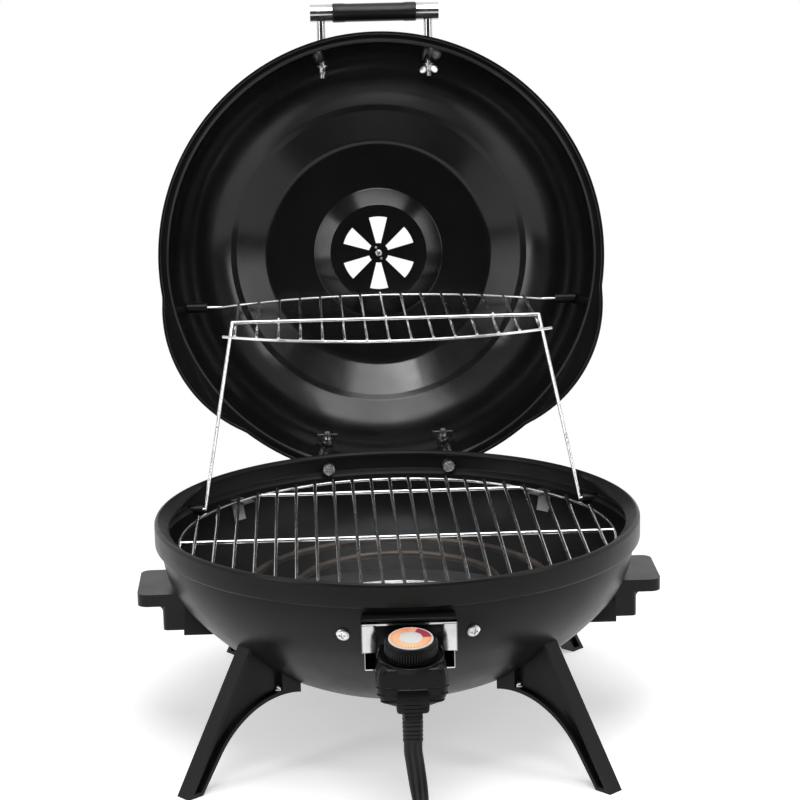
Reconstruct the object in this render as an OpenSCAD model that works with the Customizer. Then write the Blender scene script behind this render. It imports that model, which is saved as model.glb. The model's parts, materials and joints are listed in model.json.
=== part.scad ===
// Electric table grill with a hinged dome lid, a swing-up warming rack and a
// plug-in temperature control. Millimetres, +Z up, front at -Y.
// The origin is on the surface that the grill stands on, under the bowl's axis.
// The lid is modelled closed and then turned back about its hinge to the open stop.

/* [Bowl] */
// Outer radius of the bowl's rim band
rim_r = 215; // [205:1:230]
// Height of the rim's top above the table
rim_z = 196; // [185:1:215]
// Height of the upright band below the rim's top
band_h = 23; // [16:1:30]
// How far the band stands out from the bowl's wall
band_step = 6; // [4:0.5:9]
// Height of the bowl's lowest point above the table
bowl_clear = 35; // [30:1:45]
// Radius of the bowl's round side, between the band and the flatter belly
side_r = 76.5; // [70:0.5:82]
// Thickness of the bowl's sheet
wall_t = 1.2; // [1:0.1:2]
// Width of the inward sloping seat inside the rim
seat_w = 8.5; // [6:0.5:11]
// How far the seat falls towards the inside
seat_fall = 7; // [4:0.5:9]
// Angle from the hinge side where the seat starts to narrow
seat_full = 75; // [72:1:80]
// Angle from the hinge side where little of the seat is left
seat_gone = 55; // [50:1:60]

/* [Lid] */
// Gap between the closed lid's flange and the rim
lid_gap = 0.4; // [0.3:0.1:1]
// How far the lid is turned back from closed
open_angle = 98; // [92:1:105]
// Inside depth of the dome, to its flat top
dome_h = 111; // [101:1:126]
// Thickness of the lid's sheet
lid_t = 1.2; // [1:0.1:2]
// Width of the flange round the lid's mouth
flange_w = 9.5; // [8:0.5:12]
// How far the turned-down skirt reaches below the flange
skirt_h = 5; // [3:0.5:6]
// Clearance between the skirt and the rim band
skirt_gap = 0.8; // [0.6:0.1:1.5]
// How far the two ears of the flange stand out
ear_w = 11; // [6:1:14]
// Angle of each ear from the hinge side
ear_angle = 60; // [54:1:66]

/* [Vent] */
// Radius of the flat vent plate
vent_r = 49; // [44:1:54]
// How far the vent plate is set into the dome's top
vent_in = 9; // [6:0.5:12]
// Inner radius of the petal openings
petal_in = 10; // [8:0.5:12]
// Outer radius of the petal openings
petal_out = 37; // [32:1:40]
// Angle that each petal opening covers
petal_angle = 30; // [24:1:30]
// How far the damper is turned from the openings
damper_set = 1; // [0:1:12]
// Thickness of the damper plate
damper_t = 1.2; // [0.8:0.1:2]

/* [Lid handle] */
// Distance between the two posts
post_span = 106; // [90:1:120]
// Diameter of each post
post_d = 8.5; // [7:0.5:10]
// Height of the posts above the lid's mouth
post_up = 47; // [42:1:52]
// How far the grip is out from the rim band
grip_out = 25; // [21:1:40]
// Diameter of the grip
grip_d = 19; // [16:0.5:24]
// Length of the black part of the grip
grip_len = 83; // [70:1:90]
// Length of each chrome end of the grip
ferrule_len = 22; // [16:1:26]

/* [Hinge] */
// How far the hinge axis is out from the rim band
hinge_out = 1; // [0.5:0.5:4]
// Drop of the hinge axis below the rim's top
hinge_drop = 30; // [27:1:34]
// Distance of each hinge from the middle
hinge_x = 58; // [50:1:64]
// Width of the lid's hinge strap
strap_w = 12; // [10:1:16]
// Thickness of the hinge straps
strap_t = 2; // [1.5:0.1:2.4]
// Radius of the hinge pins
pin_r = 2.5; // [2:0.1:3]

/* [Grate] */
// How far the cooking grate's ring is inside the rim band
grate_in = 21; // [19:1:35]
// Height of the grate's ring above the table
grate_z = 171.6; // [166:0.2:174]
// Radius of the grate's wires
grate_wire = 1.6; // [1.4:0.1:2]
// Distance between the grate's long wires
grate_pitch = 18; // [14:1:24]
// How far the front and back cross bars are from the middle
grate_bar_y = 150; // [130:1:160]

/* [Warming rack] */
// Radius of the rack's wires
rack_wire = 1.3; // [1.1:0.1:1.5]
// Radius of the wire of the swinging legs
leg_wire = 1.7; // [1.5:0.1:1.9]
// How far the front wire runs on past each leg
rack_over = 8; // [5:0.5:10]
// Depth of the rack from its back pivot to the ends of its front wire
rack_depth = 160; // [150:1:163]
// How far the front wire bows forward
front_bow = 44; // [30:1:48]
// How far the back wire bows backward
back_bow = 46; // [30:1:50]
// Number of wires from front to back
rack_bars = 15; // [11:2:17]
// Distance between those wires
rack_pitch = 20.4; // [16:0.2:20.6]
// Distance of the rack's pivot from the lid's axis, towards the hinge
pivot_back = 48; // [40:1:54]
// Height of the rack's pivot above the lid's mouth
pivot_up = 43.5; // [40:0.5:50]
// Distance of the leg's foot behind the bowl's axis
foot_y = 98.5; // [90:0.5:104]
// Height of the leg's foot above the table
foot_z = 174; // [172:0.5:180]
// Gap between a leg's tip and the bowl's wall
tip_gap = 2; // [1.5:0.5:4]
// How much closer to the middle a leg's top is than its foot
leg_lean = 28.5; // [26:0.5:31]

/* [Heater] */
// Height of the heating tube above the table
heat_z = 128; // [124:1:132]
// Radius of the heating tube
tube_r = 3.3; // [3:0.1:4]
// Radius of the outer loop
loop_out = 135; // [120:1:140]
// Radius of the inner loop
loop_in = 90; // [80:1:98]
// Half distance between the two terminals
terminal_x = 15; // [13:1:16]
// Height of the drip pan's rim above the table
pan_z = 92; // [86:1:98]
// Radius of the drip pan's flat bottom
pan_r = 112; // [100:1:120]
// Depth of the drip pan
pan_depth = 18; // [14:1:20]
// Thickness of the drip pan's sheet
pan_t = 1; // [0.6:0.1:1.5]

/* [Legs] */
// How far each foot's outer edge is out from the rim band
foot_spread = 41; // [35:1:55]
// Length of the foot on the table
foot_len = 16; // [12:1:24]
// Height at which a leg's outer edge meets the bowl
leg_top_z = 117; // [110:1:126]
// Width of a leg across its spine
leg_w = 15; // [15:1:24]
// Thickness of a leg's walls
leg_t = 3.5; // [3:0.5:5]

/* [Side handles] */
// How far the side handles reach out from the rim band
handle_out = 16; // [11:1:25]
// Half width of the side handles
handle_half = 37; // [30:1:42]
// Height of the handles' top face above the table
handle_top = 136; // [130:1:142]
// How far the joint between block and grip is inside the rim band
seam_in = 24; // [21:1:27]
// Height of the block
block_h = 38; // [32:1:42]
// Thickness of the thin outer lip
lip_t = 11; // [9:1:14]

/* [Control] */
// Radius of the dial knob
knob_r = 21.5; // [19:0.5:22.5]
// Height of the dial knob
knob_h = 15; // [14:0.5:20]
// Number of flutes round the knob
flutes = 24; // [16:1:32]
// Tilt of the knob towards the front
knob_tilt = 10; // [0:1:12]
// Half width of the control housing
housing_half = 29; // [27:0.5:30]
// Height of the housing's underside above the table
housing_z = 106; // [100:1:112]
// Length of the sensor rod from the housing's back
probe_len = 96; // [60:1:104]
// Radius of the sensor rod
probe_r = 2.6; // [2:0.1:3]

/* [Front bracket] */
// Half width of the chrome bracket
bracket_half = 38.7; // [36:0.1:44]
// Height of the bracket's top above the table
bracket_top = 165; // [162:1:168]
// How far the bracket's face is out from the rim band
bracket_out = 6; // [5:0.5:7]
// Thickness of the bracket's sheet
bracket_t = 1.4; // [1:0.1:2]

/* [Power cord] */
// Width of the flat cord
cord_w = 15; // [12:0.5:16]
// Thickness of the flat cord
cord_t = 5; // [4:0.5:6]
// Radius at the middle of the coil's turns
coil_r = 78; // [75:1:90]
// Number of turns that lie side by side in the coil
coil_rows = 3; // [2:1:4]

/* [Hidden] */
$fn = 96;
eps = 0.01;

// Bowl: belly sphere, side torus, then the band
wall_r = rim_r - band_step;
wall_top = rim_z - band_h;
wall_h = wall_top - bowl_clear;
belly_r = (wall_r ^ 2 + wall_h ^ 2 - 2 * wall_r * side_r) / (2 * (wall_h - side_r));
belly_z = bowl_clear + belly_r;
side_h = belly_z - wall_top;
side_x = wall_r - side_r;
belly_angle = atan2(side_h, side_x);
tangent_z = belly_z - belly_r * sin(belly_angle);
sweep = 400;
seat_r = rim_r - 4 - seat_w;
stub_r = rim_r - 6;

// Lid frame: mouth plane, hinge, and how the closed lid turns open
mouth_z = rim_z + lid_gap;
hinge_y = rim_r + hinge_out;
hinge_z = rim_z - hinge_drop;
mouth_r = rim_r - 7.5;
skirt_t = 1.4;
skirt_r = rim_r + skirt_gap;
flange_r = skirt_r + skirt_t;
dome_rc = 90;
dome_b = 109;
ring_r = 150;
ring_up = dome_b * sqrt(1 - ((ring_r - dome_rc) / (mouth_r - dome_rc)) ^ 2);
disc_r = 113;
vent_up = dome_h - vent_in;
step_r = 66;
dome_steps = 14;

// Warming rack linkage: hinge, back pivot, leg top and leg foot make a parallelogram
pivot_dy = pivot_back - hinge_y;
pivot_dz = mouth_z + pivot_up - hinge_z;
link_y = pivot_dy * cos(open_angle) + pivot_dz * sin(open_angle);
link_z = pivot_dz * cos(open_angle) - pivot_dy * sin(open_angle);
pivot_y = hinge_y + link_y;
pivot_z = hinge_z + link_z;
leg_top_y = foot_y + link_y;
leg_top_up = foot_z + link_z;
wire_gap = 0.35;
socket_r = 4.6;
tip_x = sqrt((wall_r - wall_t) ^ 2 - foot_y ^ 2) - tip_gap;
foot_x = tip_x - 6.5;
socket_face = foot_x + 2;
leg_top_x = foot_x - leg_lean;
rack_half = leg_top_x + rack_over;
bail_lift = 2 * rack_wire + leg_wire + 1.2;
rack_tilt = atan2(leg_top_up - pivot_z, pivot_y - leg_top_y)
    - asin(bail_lift / norm([leg_top_up - pivot_z, pivot_y - leg_top_y]));
bail_back = sqrt((pivot_y - leg_top_y) ^ 2 + (leg_top_up - pivot_z) ^ 2 - bail_lift ^ 2);

// What stands out from the rim band or lies inside it
grip_reach = rim_r + grip_out;
handle_reach = rim_r + handle_out;
handle_seam = rim_r - seam_in;
foot_out = rim_r + foot_spread;
bracket_y = rim_r + bracket_out;
grate_r = rim_r - grate_in;

// Fasteners
bolt_r = 2.4;
bolt_gap = 0.3;
head_r = 5.5;
head_h = 3;
wing_half = 10;
handle_bolt_y = 22;
handle_bolt_z = handle_top - block_h + 14;
leg_bolt_r = rim_r - 77;
leg_bolt_depth = 9;
front_screw_turn = 15;
front_screw_z = bracket_top - 15.4;

// Hinge: strap on the lid, bracket on the bowl
hinge_fit = 0.06;
hinge_gap = 0.35;
knuckle_r = pin_r + 1.6;
ear_t = 2;
strap_back = hinge_y + strap_t / 2 + 0.2;
strap_front = strap_back - strap_t;
strap_knee = mouth_z + 7;
pad_low = 38;
pad_high = 56;
pad_mid = (pad_low + pad_high) / 2;
pad_spare = 0.6;
stop_gap = 0.1;
stop_low = knuckle_r + 1.5;
stop_high = stop_low + 4;
bracket_low = rim_z - 20;
bracket_high = rim_z - 8;
bracket_plane = hinge_y - knuckle_r - 1;
hinge_bolt_z = (bracket_low + bracket_high) / 2;

// Control: the tilted top face of the housing carries the knob
slide_gap = 1.5;
knob_gap = 0.4;
top_half = knob_r + 2.5;
knob_y = bracket_y + knob_gap + top_half * cos(knob_tilt);
control_back = bracket_y + slide_gap;
control_front = knob_y + top_half - 1;
top_back_z = housing_z + 44;
knob_z = top_back_z - (knob_y - control_back) * tan(knob_tilt);
top_front_z = top_back_z - (control_front - control_back) * tan(knob_tilt);
spindle_r = 3;
spindle_fit = 0.06;
spindle_len = 12;
dial_r = knob_r - 3.5;
dial_t = 1.2;
dial_sink = 0.8;
cap_r = dial_r / 2;
neck_end = rim_r - 11.5;
neck_half = terminal_x + 6;
neck_low = heat_z - 10;
neck_high = heat_z + 9;
neck_gap = 0.35;
terminal_end = neck_end + 10.5;
tongue_z = housing_z - 6;
tongue_half = 14;
tongue_deep = 16;
cord_y = bracket_y + 33;
relief_len = 23;

// Power cord: the free stretch runs from the strain relief to the coil and
// turns from flat to on edge on its way. Its points are taken from below the relief.
coil_z = 0.3;
CORD = [[0, 0, 77], [0, 0, 68], [1, 0, 60], [2, -0.5, 52], [3, -1.5, 44], [4, -3.5, 36],
    [5, -6.5, 28], [6, -11, 20.5], [7, -17, 14.5], [8, -24.5, 10.3], [8, -33, 8.3],
    [8, -42, 7.8], [8, -52, 7.8], [8, -64, 7.8], [8, -76, 7.8], [8, -88, 7.8], [8, -96, 7.8]];
cord_last = len(CORD) - 1;
turn_pitch = cord_t + 0.6;
coil_out = coil_r + coil_rows * turn_pitch / 2;
coil_in = coil_r - coil_rows * turn_pitch / 2;
coil_x = CORD[cord_last][0] + coil_out - cord_t / 2;
coil_y = CORD[cord_last][1] - cord_y;
plug_l = 36;
plug_w = 24;
plug_t = 17;

// Bowl's outer radius at a height, and how far its surface faces down there
function bowl_r(z) = z < tangent_z ? sqrt(belly_r ^ 2 - (belly_z - z) ^ 2)
    : side_x + sqrt(side_r ^ 2 - (z - wall_top) ^ 2);
function bowl_dip(z) = z < tangent_z ? asin((belly_z - z) / belly_r)
    : asin((wall_top - z) / side_r);
function belly_height(r) = belly_z - sqrt(belly_r ^ 2 - r ^ 2);

// Dome's inner radius at a height above the mouth, and how far its wall faces up there
function dome_r(up) = dome_rc + (mouth_r - dome_rc) * sqrt(1 - (up / dome_b) ^ 2);
function dome_rise(up) = atan2(up / dome_b ^ 2, (dome_r(up) - dome_rc) / (mouth_r - dome_rc) ^ 2);

// ---- Frames -------------------------------------------------------------

module lid_open() {
    translate([0, hinge_y, hinge_z]) rotate([-open_angle, 0, 0])
        translate([0, -hinge_y, -hinge_z]) children();
}

// Puts +Z on the outward normal of the bowl at an azimuth and a height
module on_bowl(azimuth, z) {
    rotate([0, 0, azimuth]) translate([bowl_r(z), 0, z])
        rotate([0, 90 + bowl_dip(z), 0]) children();
}

// The rack's own frame: origin at its back pivot, front at -Y
module rack_frame() {
    translate([0, pivot_y, pivot_z]) rotate([-rack_tilt, 0, 0]) children();
}

module knob_frame() {
    translate([0, -knob_y, knob_z]) rotate([knob_tilt, 0, 0]) children();
}

module on_side(side) {
    if (side > 0) children();
    else mirror([1, 0, 0]) children();
}

// ---- Outlines that several pieces share ---------------------------------

sector_lap = 3;

module bowl_region(inset) {
    intersection() {
        union() {
            intersection() {
                translate([0, belly_z]) circle(belly_r - inset, $fn = 360);
                polygon([[0, belly_z], [0, belly_z - sweep],
                    [sweep * cos(belly_angle), belly_z - sweep * sin(belly_angle)]]);
            }
            intersection() {
                translate([side_x, wall_top]) circle(side_r - inset, $fn = 240);
                polygon([[side_x, wall_top], [side_x + sweep * cos(belly_angle + sector_lap),
                    wall_top - sweep * sin(belly_angle + sector_lap)], [side_x + sweep, wall_top]]);
            }
        }
        square([sweep, wall_top]);
    }
}

// The shell, the band with its rounded top and the seat inside it
module bowl_section() {
    difference() {
        bowl_region(0);
        bowl_region(wall_t);
    }
    polygon([[wall_r - wall_t, wall_top], [wall_r, wall_top], [rim_r, wall_top + 2],
        [rim_r, rim_z - 3], [rim_r - 1, rim_z - 1], [rim_r - 3, rim_z],
        [seat_r, rim_z - seat_fall], [seat_r, rim_z - seat_fall - 2 * wall_t],
        [rim_r - 3, rim_z - 2 * wall_t], [rim_r - wall_t, rim_z - 5],
        [rim_r - wall_t, wall_top + 2.6], [wall_r - wall_t, wall_top + 0.8]]);
}

// Everything inside the bowl's outer surface, to cut what seats on it
module bowl_solid() {
    rotate_extrude($fn = 180) {
        bowl_region(0);
        polygon([[0, wall_top - eps], [wall_r, wall_top - eps], [rim_r, wall_top + 2],
            [rim_r, rim_z], [0, rim_z]]);
    }
}

// Everything inside the bowl's inner surface
module bowl_space() {
    rotate_extrude($fn = 180) {
        bowl_region(wall_t);
        polygon([[0, wall_top - 1], [wall_r - wall_t, wall_top - 1],
            [wall_r - wall_t, wall_top + 0.8], [rim_r - wall_t, wall_top + 2.6],
            [rim_r - wall_t, rim_z - 5], [0, rim_z - 5]]);
    }
}

wall_end = asin(ring_up / dome_b);
dome_inner = concat([for (i = [0 : dome_steps]) let (a = wall_end * i / dome_steps)
    [dome_rc + (mouth_r - dome_rc) * cos(a), dome_b * sin(a)]],
    [[disc_r, dome_h], [step_r, dome_h], [vent_r, vent_up]]);
dome_outer = concat([for (i = [0 : dome_steps]) let (a = wall_end * i / dome_steps)
    [dome_rc + (mouth_r + lid_t - dome_rc) * cos(a), (dome_b + lid_t) * sin(a)]],
    [[disc_r, dome_h + lid_t], [step_r, dome_h + lid_t], [vent_r, vent_up + lid_t]]);
dome_last = len(dome_inner) - 1;

// Everything inside the dome's outer or inner surface, lid closed
module dome_solid() {
    translate([0, 0, mouth_z]) rotate_extrude($fn = 180)
        polygon(concat([[0, 0]], dome_outer, [[0, vent_up + lid_t]]));
}

module dome_space() {
    translate([0, 0, mouth_z]) rotate_extrude($fn = 180)
        polygon(concat([[0, 0]], dome_inner, [[0, vent_up]]));
}

module rod(from, to, r) {
    d = to - from;
    translate(from) rotate([0, acos(d[2] / norm(d)), atan2(d[1], d[0])])
        cylinder(h = norm(d), r = r, $fn = 32);
}

module x_rod(x0, x1, y, z, r) {
    translate([x0, y, z]) rotate([0, 90, 0]) cylinder(h = x1 - x0, r = r, $fn = 48);
}

module y_rod(x, y0, y1, z, r) {
    translate([x, y1, z]) rotate([90, 0, 0]) cylinder(h = y1 - y0, r = r, $fn = 48);
}

// A ring of wire, or an arc of one
module wire_arc(major, r, from = 0, angle = 360, steps = 120) {
    rotate([0, 0, from]) rotate_extrude(angle = angle, $fn = steps)
        translate([major, 0]) circle(r, $fn = 16);
}

// ---- Bowl ---------------------------------------------------------------

// What the seat lacks towards the hinge, where the rack's legs pass: an offset circle
// that meets the seat's edge at one angle and the rim's underside at the other
module seat_cut() {
    full = seat_r * [sin(seat_full), cos(seat_full)];
    gone = stub_r * [sin(seat_gone), cos(seat_gone)];
    y = (gone * gone - full * full) / (2 * (gone[1] - full[1]));
    intersection() {
        translate([0, y, rim_z - seat_fall - 3 * wall_t])
            cylinder(h = rim_z, r = norm([full[0], full[1] - y]), $fn = 180);
        cylinder(h = 2 * rim_z, r = stub_r, $fn = 180);
    }
}

module bowl() {
    color([0.07, 0.07, 0.075]) difference() {
        rotate_extrude($fn = 180) bowl_section();
        seat_cut();
        for (x = [-terminal_x, terminal_x])
            y_rod(x, -rim_r, -rim_r / 2, heat_z, tube_r + neck_gap);
        y_rod(0, -rim_r, -rim_r / 2, heat_z, probe_r + neck_gap);
        for (side = [-1, 1]) {
            front_screw_place(side) cylinder(h = 30, r = bolt_r + bolt_gap, center = true, $fn = 48);
            for (y = [-handle_bolt_y, handle_bolt_y])
                translate([side * handle_seam, y, handle_bolt_z]) rotate([0, 90, 0])
                    cylinder(h = rim_r / 3.5, r = bolt_r + bolt_gap, center = true, $fn = 48);
            y_rod(side * hinge_x, rim_r - 30, rim_r + 20, hinge_bolt_z, bolt_r + bolt_gap);
        }
        for (azimuth = LEGS)
            on_bowl(azimuth, leg_bolt_z) cylinder(h = 30, r = bolt_r + bolt_gap, center = true, $fn = 48);
    }
}

module rack_socket(side) {
    color([0.09, 0.09, 0.09]) intersection() {
        difference() {
            x_rod(min(side * socket_face, side * rim_r), max(side * socket_face, side * rim_r),
                foot_y, foot_z, socket_r);
            x_rod(min(side * (socket_face - 1), side * (tip_x + 1)),
                max(side * (socket_face - 1), side * (tip_x + 1)), foot_y, foot_z,
                leg_wire + wire_gap);
        }
        bowl_space();
    }
}

// ---- Grate and its clips ------------------------------------------------

clip_w = 14;
clip_t = 1.5;
clip_drop = 20;
clip_in = grate_r - 4;
shelf_z = grate_z - grate_wire - 0.1;

CLIPS = [-135, -45, 135, 45];

module grate_clip(azimuth) {
    color([0.55, 0.56, 0.57]) difference() {
        intersection() {
            rotate([0, 0, azimuth]) union() {
                translate([clip_in, -clip_w / 2, shelf_z - clip_t]) cube([40, clip_w, clip_t]);
                translate([clip_in, -clip_w / 2, shelf_z - clip_drop]) cube([40, clip_w, clip_drop]);
            }
            bowl_space();
        }
        rotate_extrude($fn = 180) intersection() {
            bowl_region(wall_t + clip_t);
            square([rim_r, shelf_z - clip_t]);
        }
    }
}

grate_count = floor((grate_r - 8) / grate_pitch);

module cooking_grate() {
    color([0.75, 0.76, 0.78]) union() {
        translate([0, 0, grate_z]) wire_arc(grate_r, grate_wire);
        for (i = [-grate_count : grate_count])
            let (x = i * grate_pitch, half = sqrt(grate_r ^ 2 - x ^ 2))
                y_rod(x, -half, half, grate_z + 1.6 * grate_wire, grate_wire);
        for (y = [-grate_bar_y, 0, grate_bar_y])
            let (half = sqrt(grate_r ^ 2 - y ^ 2))
                x_rod(-half, half, y, grate_z - 0.2, grate_wire + 0.2);
    }
}

// ---- Heating element, its plate and the drip pan ------------------------

turn_r = (loop_out - loop_in) / 2;
turn_angle = 240;
bend_r = 3.6 * tube_r;

// The tube's stretches end a hair apart inside a small weld bead
bead_r = tube_r + 0.12;
hair = 0.02;

// One lead, its bend and the loop that it runs into
module heater_loop(x, major) {
    bend_x = x + bend_r;
    bend_y = -sqrt((major + bend_r) ^ 2 - bend_x ^ 2);
    start = atan2(bend_y, bend_x);
    wire_arc(major, tube_r, start + hair, turn_angle - start - 2 * hair);
    translate([bend_x, bend_y, 0]) wire_arc(bend_r, tube_r, 180 + start + hair, -start - 2 * hair, 48);
    y_rod(x, -terminal_end, bend_y - hair, 0, tube_r);
    translate([major * cos(start), major * sin(start), 0]) sphere(bead_r, $fn = 32);
    translate([x, bend_y, 0]) sphere(bead_r, $fn = 32);
    rotate([0, 0, turn_angle]) translate([major, 0, 0]) sphere(bead_r, $fn = 32);
}

module heating_element() {
    color([0.32, 0.31, 0.3]) translate([0, 0, heat_z]) union() {
        heater_loop(terminal_x, loop_out);
        heater_loop(-terminal_x, loop_in);
        rotate([0, 0, turn_angle]) translate([loop_in + turn_r, 0, 0])
            wire_arc(turn_r, tube_r, hair, 180 - 2 * hair, 64);
    }
}

plate_t = 1.5;

module element_plate() {
    color([0.55, 0.55, 0.55]) difference() {
        intersection() {
            translate([-neck_half - 5, -rim_r, neck_low]) cube([2 * neck_half + 10, rim_r / 2, neck_high - neck_low]);
            bowl_space();
        }
        rotate_extrude($fn = 180) bowl_region(wall_t + plate_t);
        for (x = [-terminal_x, terminal_x])
            y_rod(x, -rim_r, -rim_r / 2, heat_z, tube_r);
        y_rod(0, -rim_r, -rim_r / 2, heat_z, probe_r + neck_gap);
    }
}

module drip_pan() {
    color([0.7, 0.71, 0.72]) rotate_extrude($fn = 180) intersection() {
        bowl_region(wall_t);
        polygon([[0, pan_z - pan_depth], [pan_r, pan_z - pan_depth], [pan_r + 12, pan_z - pan_t],
            [sweep, pan_z - pan_t], [sweep, pan_z], [pan_r + 12 - 2 * pan_t, pan_z],
            [pan_r - pan_t, pan_z - pan_depth + pan_t], [0, pan_z - pan_depth + pan_t]]);
    }
}

// ---- Front bracket ------------------------------------------------------

bracket_side = 27;
bracket_foot = 39;
gate_half = neck_half + 5;
gate_top = bracket_top - 5;
toe_in = bracket_half - 7;
fold_len = rim_r / 3.5;

module front_bracket() {
    color([0.82, 0.83, 0.84]) difference() {
        union() {
            translate([-bracket_half, -bracket_y, bracket_top - bracket_side])
                cube([2 * bracket_half, bracket_t, bracket_side]);
            for (side = [-1, 1]) {
                translate([side * (toe_in + bracket_half) / 2, -bracket_y + bracket_t / 2, bracket_top - bracket_foot / 2])
                    cube([bracket_half - toe_in, bracket_t, bracket_foot], center = true);
                translate([side * (bracket_half - bracket_t / 2), -bracket_y, bracket_top - bracket_side / 2])
                    translate([-bracket_t / 2, 0, -bracket_side / 2]) cube([bracket_t, fold_len, bracket_side]);
            }
        }
        translate([-gate_half, -bracket_y - 1, bracket_top - bracket_foot - 1])
            cube([2 * gate_half, bracket_t + 2, gate_top - bracket_top + bracket_foot + 1]);
        bowl_solid();
    }
}

module front_lip() {
    color([0.08, 0.08, 0.08]) difference() {
        translate([-bracket_half + 0.7, -bracket_y - 1, bracket_top + 2])
            cube([2 * bracket_half - 1.4, fold_len, 2]);
        bowl_solid();
    }
}

module front_screw_place(side) {
    on_bowl(-90 + side * front_screw_turn, front_screw_z) children();
}

module front_screw(side) {
    color([0.8, 0.81, 0.82]) union() {
        difference() {
            front_screw_place(side) cylinder(h = head_h, r = head_r, $fn = 48);
            bowl_solid();
        }
        front_screw_place(side) translate([0, 0, -8]) cylinder(h = 9, r = bolt_r, $fn = 48);
        intersection() {
            front_screw_place(side) translate([0, 0, -6]) cylinder(h = 6, r = head_r - 1, $fn = 48);
            bowl_space();
        }
    }
}

// ---- Side handles -------------------------------------------------------

corner_r = 9;
fillet_r = 6;
grip_root = 18;

module handle_plan(x0, x1, r) {
    translate([x0, -handle_half]) square([x1 - x0 - r, 2 * handle_half]);
    translate([x0, r - handle_half]) square([x1 - x0, 2 * (handle_half - r)]);
    for (side = [-1, 1])
        translate([x1 - r, side * (handle_half - r)]) circle(r);
}

module handle_bolt_rods(r) {
    for (y = [-handle_bolt_y, handle_bolt_y])
        translate([handle_seam - 36, y, handle_bolt_z]) rotate([0, 90, 0])
            cylinder(h = 32, r = r, $fn = 48);
}

module right_block() {
    difference() {
        translate([handle_seam - 45, -handle_half, handle_top - block_h])
            cube([45, 2 * handle_half, block_h - lip_t]);
        bowl_solid();
        handle_bolt_rods(bolt_r);
    }
}

module right_grip() {
    difference() {
        union() {
            translate([0, 0, handle_top - lip_t]) linear_extrude(lip_t)
                handle_plan(handle_seam - 40, handle_reach, corner_r);
            translate([0, 0, handle_top - block_h + 5]) linear_extrude(block_h - lip_t - 5)
                handle_plan(handle_seam, handle_seam + grip_root, corner_r / 2);
            difference() {
                translate([handle_seam + grip_root - 1, corner_r / 2 - handle_half, handle_top - lip_t - fillet_r])
                    cube([fillet_r + 1, 2 * handle_half - corner_r, fillet_r]);
                translate([handle_seam + grip_root + fillet_r, 0, handle_top - lip_t - fillet_r])
                    rotate([90, 0, 0]) cylinder(h = 2 * handle_half + 2, r = fillet_r, center = true);
            }
        }
        bowl_solid();
    }
}

module right_handle_bolts() {
    handle_bolt_rods(bolt_r);
    intersection() {
        for (y = [-handle_bolt_y, handle_bolt_y])
            translate([handle_seam - 40, y, handle_bolt_z]) rotate([0, 90, 0])
                cylinder(h = 40, r = head_r, $fn = 48);
        difference() {
            bowl_space();
            rotate_extrude($fn = 180) bowl_region(wall_t + head_h);
        }
    }
}

module handle_block(side) { color([0.1, 0.1, 0.1]) on_side(side) right_block(); }
module side_grip(side) { color([0.12, 0.12, 0.12]) on_side(side) right_grip(); }
module handle_bolts(side) { color([0.75, 0.75, 0.75]) on_side(side) right_handle_bolts(); }

// ---- Legs ---------------------------------------------------------------

// Azimuths: the legs stand a little round from square
LEGS = [-138, -48, 128, 45];
leg_top_r = bowl_r(leg_top_z) - 3;
arch_r = 86.5;
arch_x = foot_out - 107;
arch_z = -22;
arch_turn = 35;
tab_r = leg_bolt_r - 11;
tab_end = leg_bolt_r + 10;

// Point on the arch, or outside it, where the straight part of the inner edge begins
function arch_end(more) = [arch_x + (arch_r + more) * cos(arch_turn), arch_z + (arch_r + more) * sin(arch_turn)];

leg_bolt_z = belly_height(leg_bolt_r);

module leg_outline() {
    difference() {
        polygon([[leg_top_r, leg_top_z], [foot_out, 0], [foot_out - foot_len, 0], arch_end(0),
            [arch_x, arch_z + arch_r / 2], [tab_r, arch_z + arch_r / 2], [tab_r, leg_top_z]]);
        translate([arch_x, arch_z]) circle(arch_r, $fn = 180);
    }
}

// What a leg has across its whole width: spine, foot, arch flange and tab
module leg_flanges() {
    intersection() {
        leg_outline();
        union() {
            polygon([[leg_top_r, leg_top_z], [foot_out, 0], [foot_out - 1.2 * leg_t, 0],
                [leg_top_r - 1.2 * leg_t, leg_top_z]]);
            square([sweep, leg_t]);
            difference() {
                translate([arch_x, arch_z]) circle(arch_r + leg_t, $fn = 180);
                polygon([[arch_x, arch_z], arch_end(arch_r), [arch_x + 2 * arch_r, arch_z - arch_r]]);
            }
            polygon([[foot_out - foot_len, 0], [foot_out - foot_len + 1.2 * leg_t, 0], arch_end(leg_t),
                arch_end(0)]);
            square([tab_end, leg_top_z]);
        }
    }
}

module leg_stand(h) {
    translate([0, h / 2, 0]) rotate([90, 0, 0]) linear_extrude(h) children();
}

module leg(azimuth) {
    color([0.11, 0.11, 0.11]) difference() {
        rotate([0, 0, azimuth]) union() {
            leg_stand(leg_t) leg_outline();
            leg_stand(leg_w) leg_flanges();
        }
        bowl_solid();
        on_bowl(azimuth, leg_bolt_z) cylinder(h = 40, r = bolt_r, $fn = 48);
        on_bowl(azimuth, leg_bolt_z) translate([0, 0, leg_bolt_depth])
            cylinder(h = 40, r = head_r + 1, $fn = 48);
    }
}

module leg_screw(azimuth) {
    color([0.8, 0.81, 0.82]) union() {
        on_bowl(azimuth, leg_bolt_z) translate([0, 0, -3])
            cylinder(h = leg_bolt_depth + head_h + 4, r = bolt_r, $fn = 48);
        on_bowl(azimuth, leg_bolt_z) translate([0, 0, leg_bolt_depth])
            cylinder(h = head_h, r = head_r, $fn = 48);
        intersection() {
            on_bowl(azimuth, leg_bolt_z) translate([0, 0, -wall_t - head_h])
                cylinder(h = wall_t + head_h, r = head_r, $fn = 48);
            bowl_space();
        }
    }
}

// ---- Hinges: bracket and pin on the bowl, strap on the lid --------------

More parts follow.
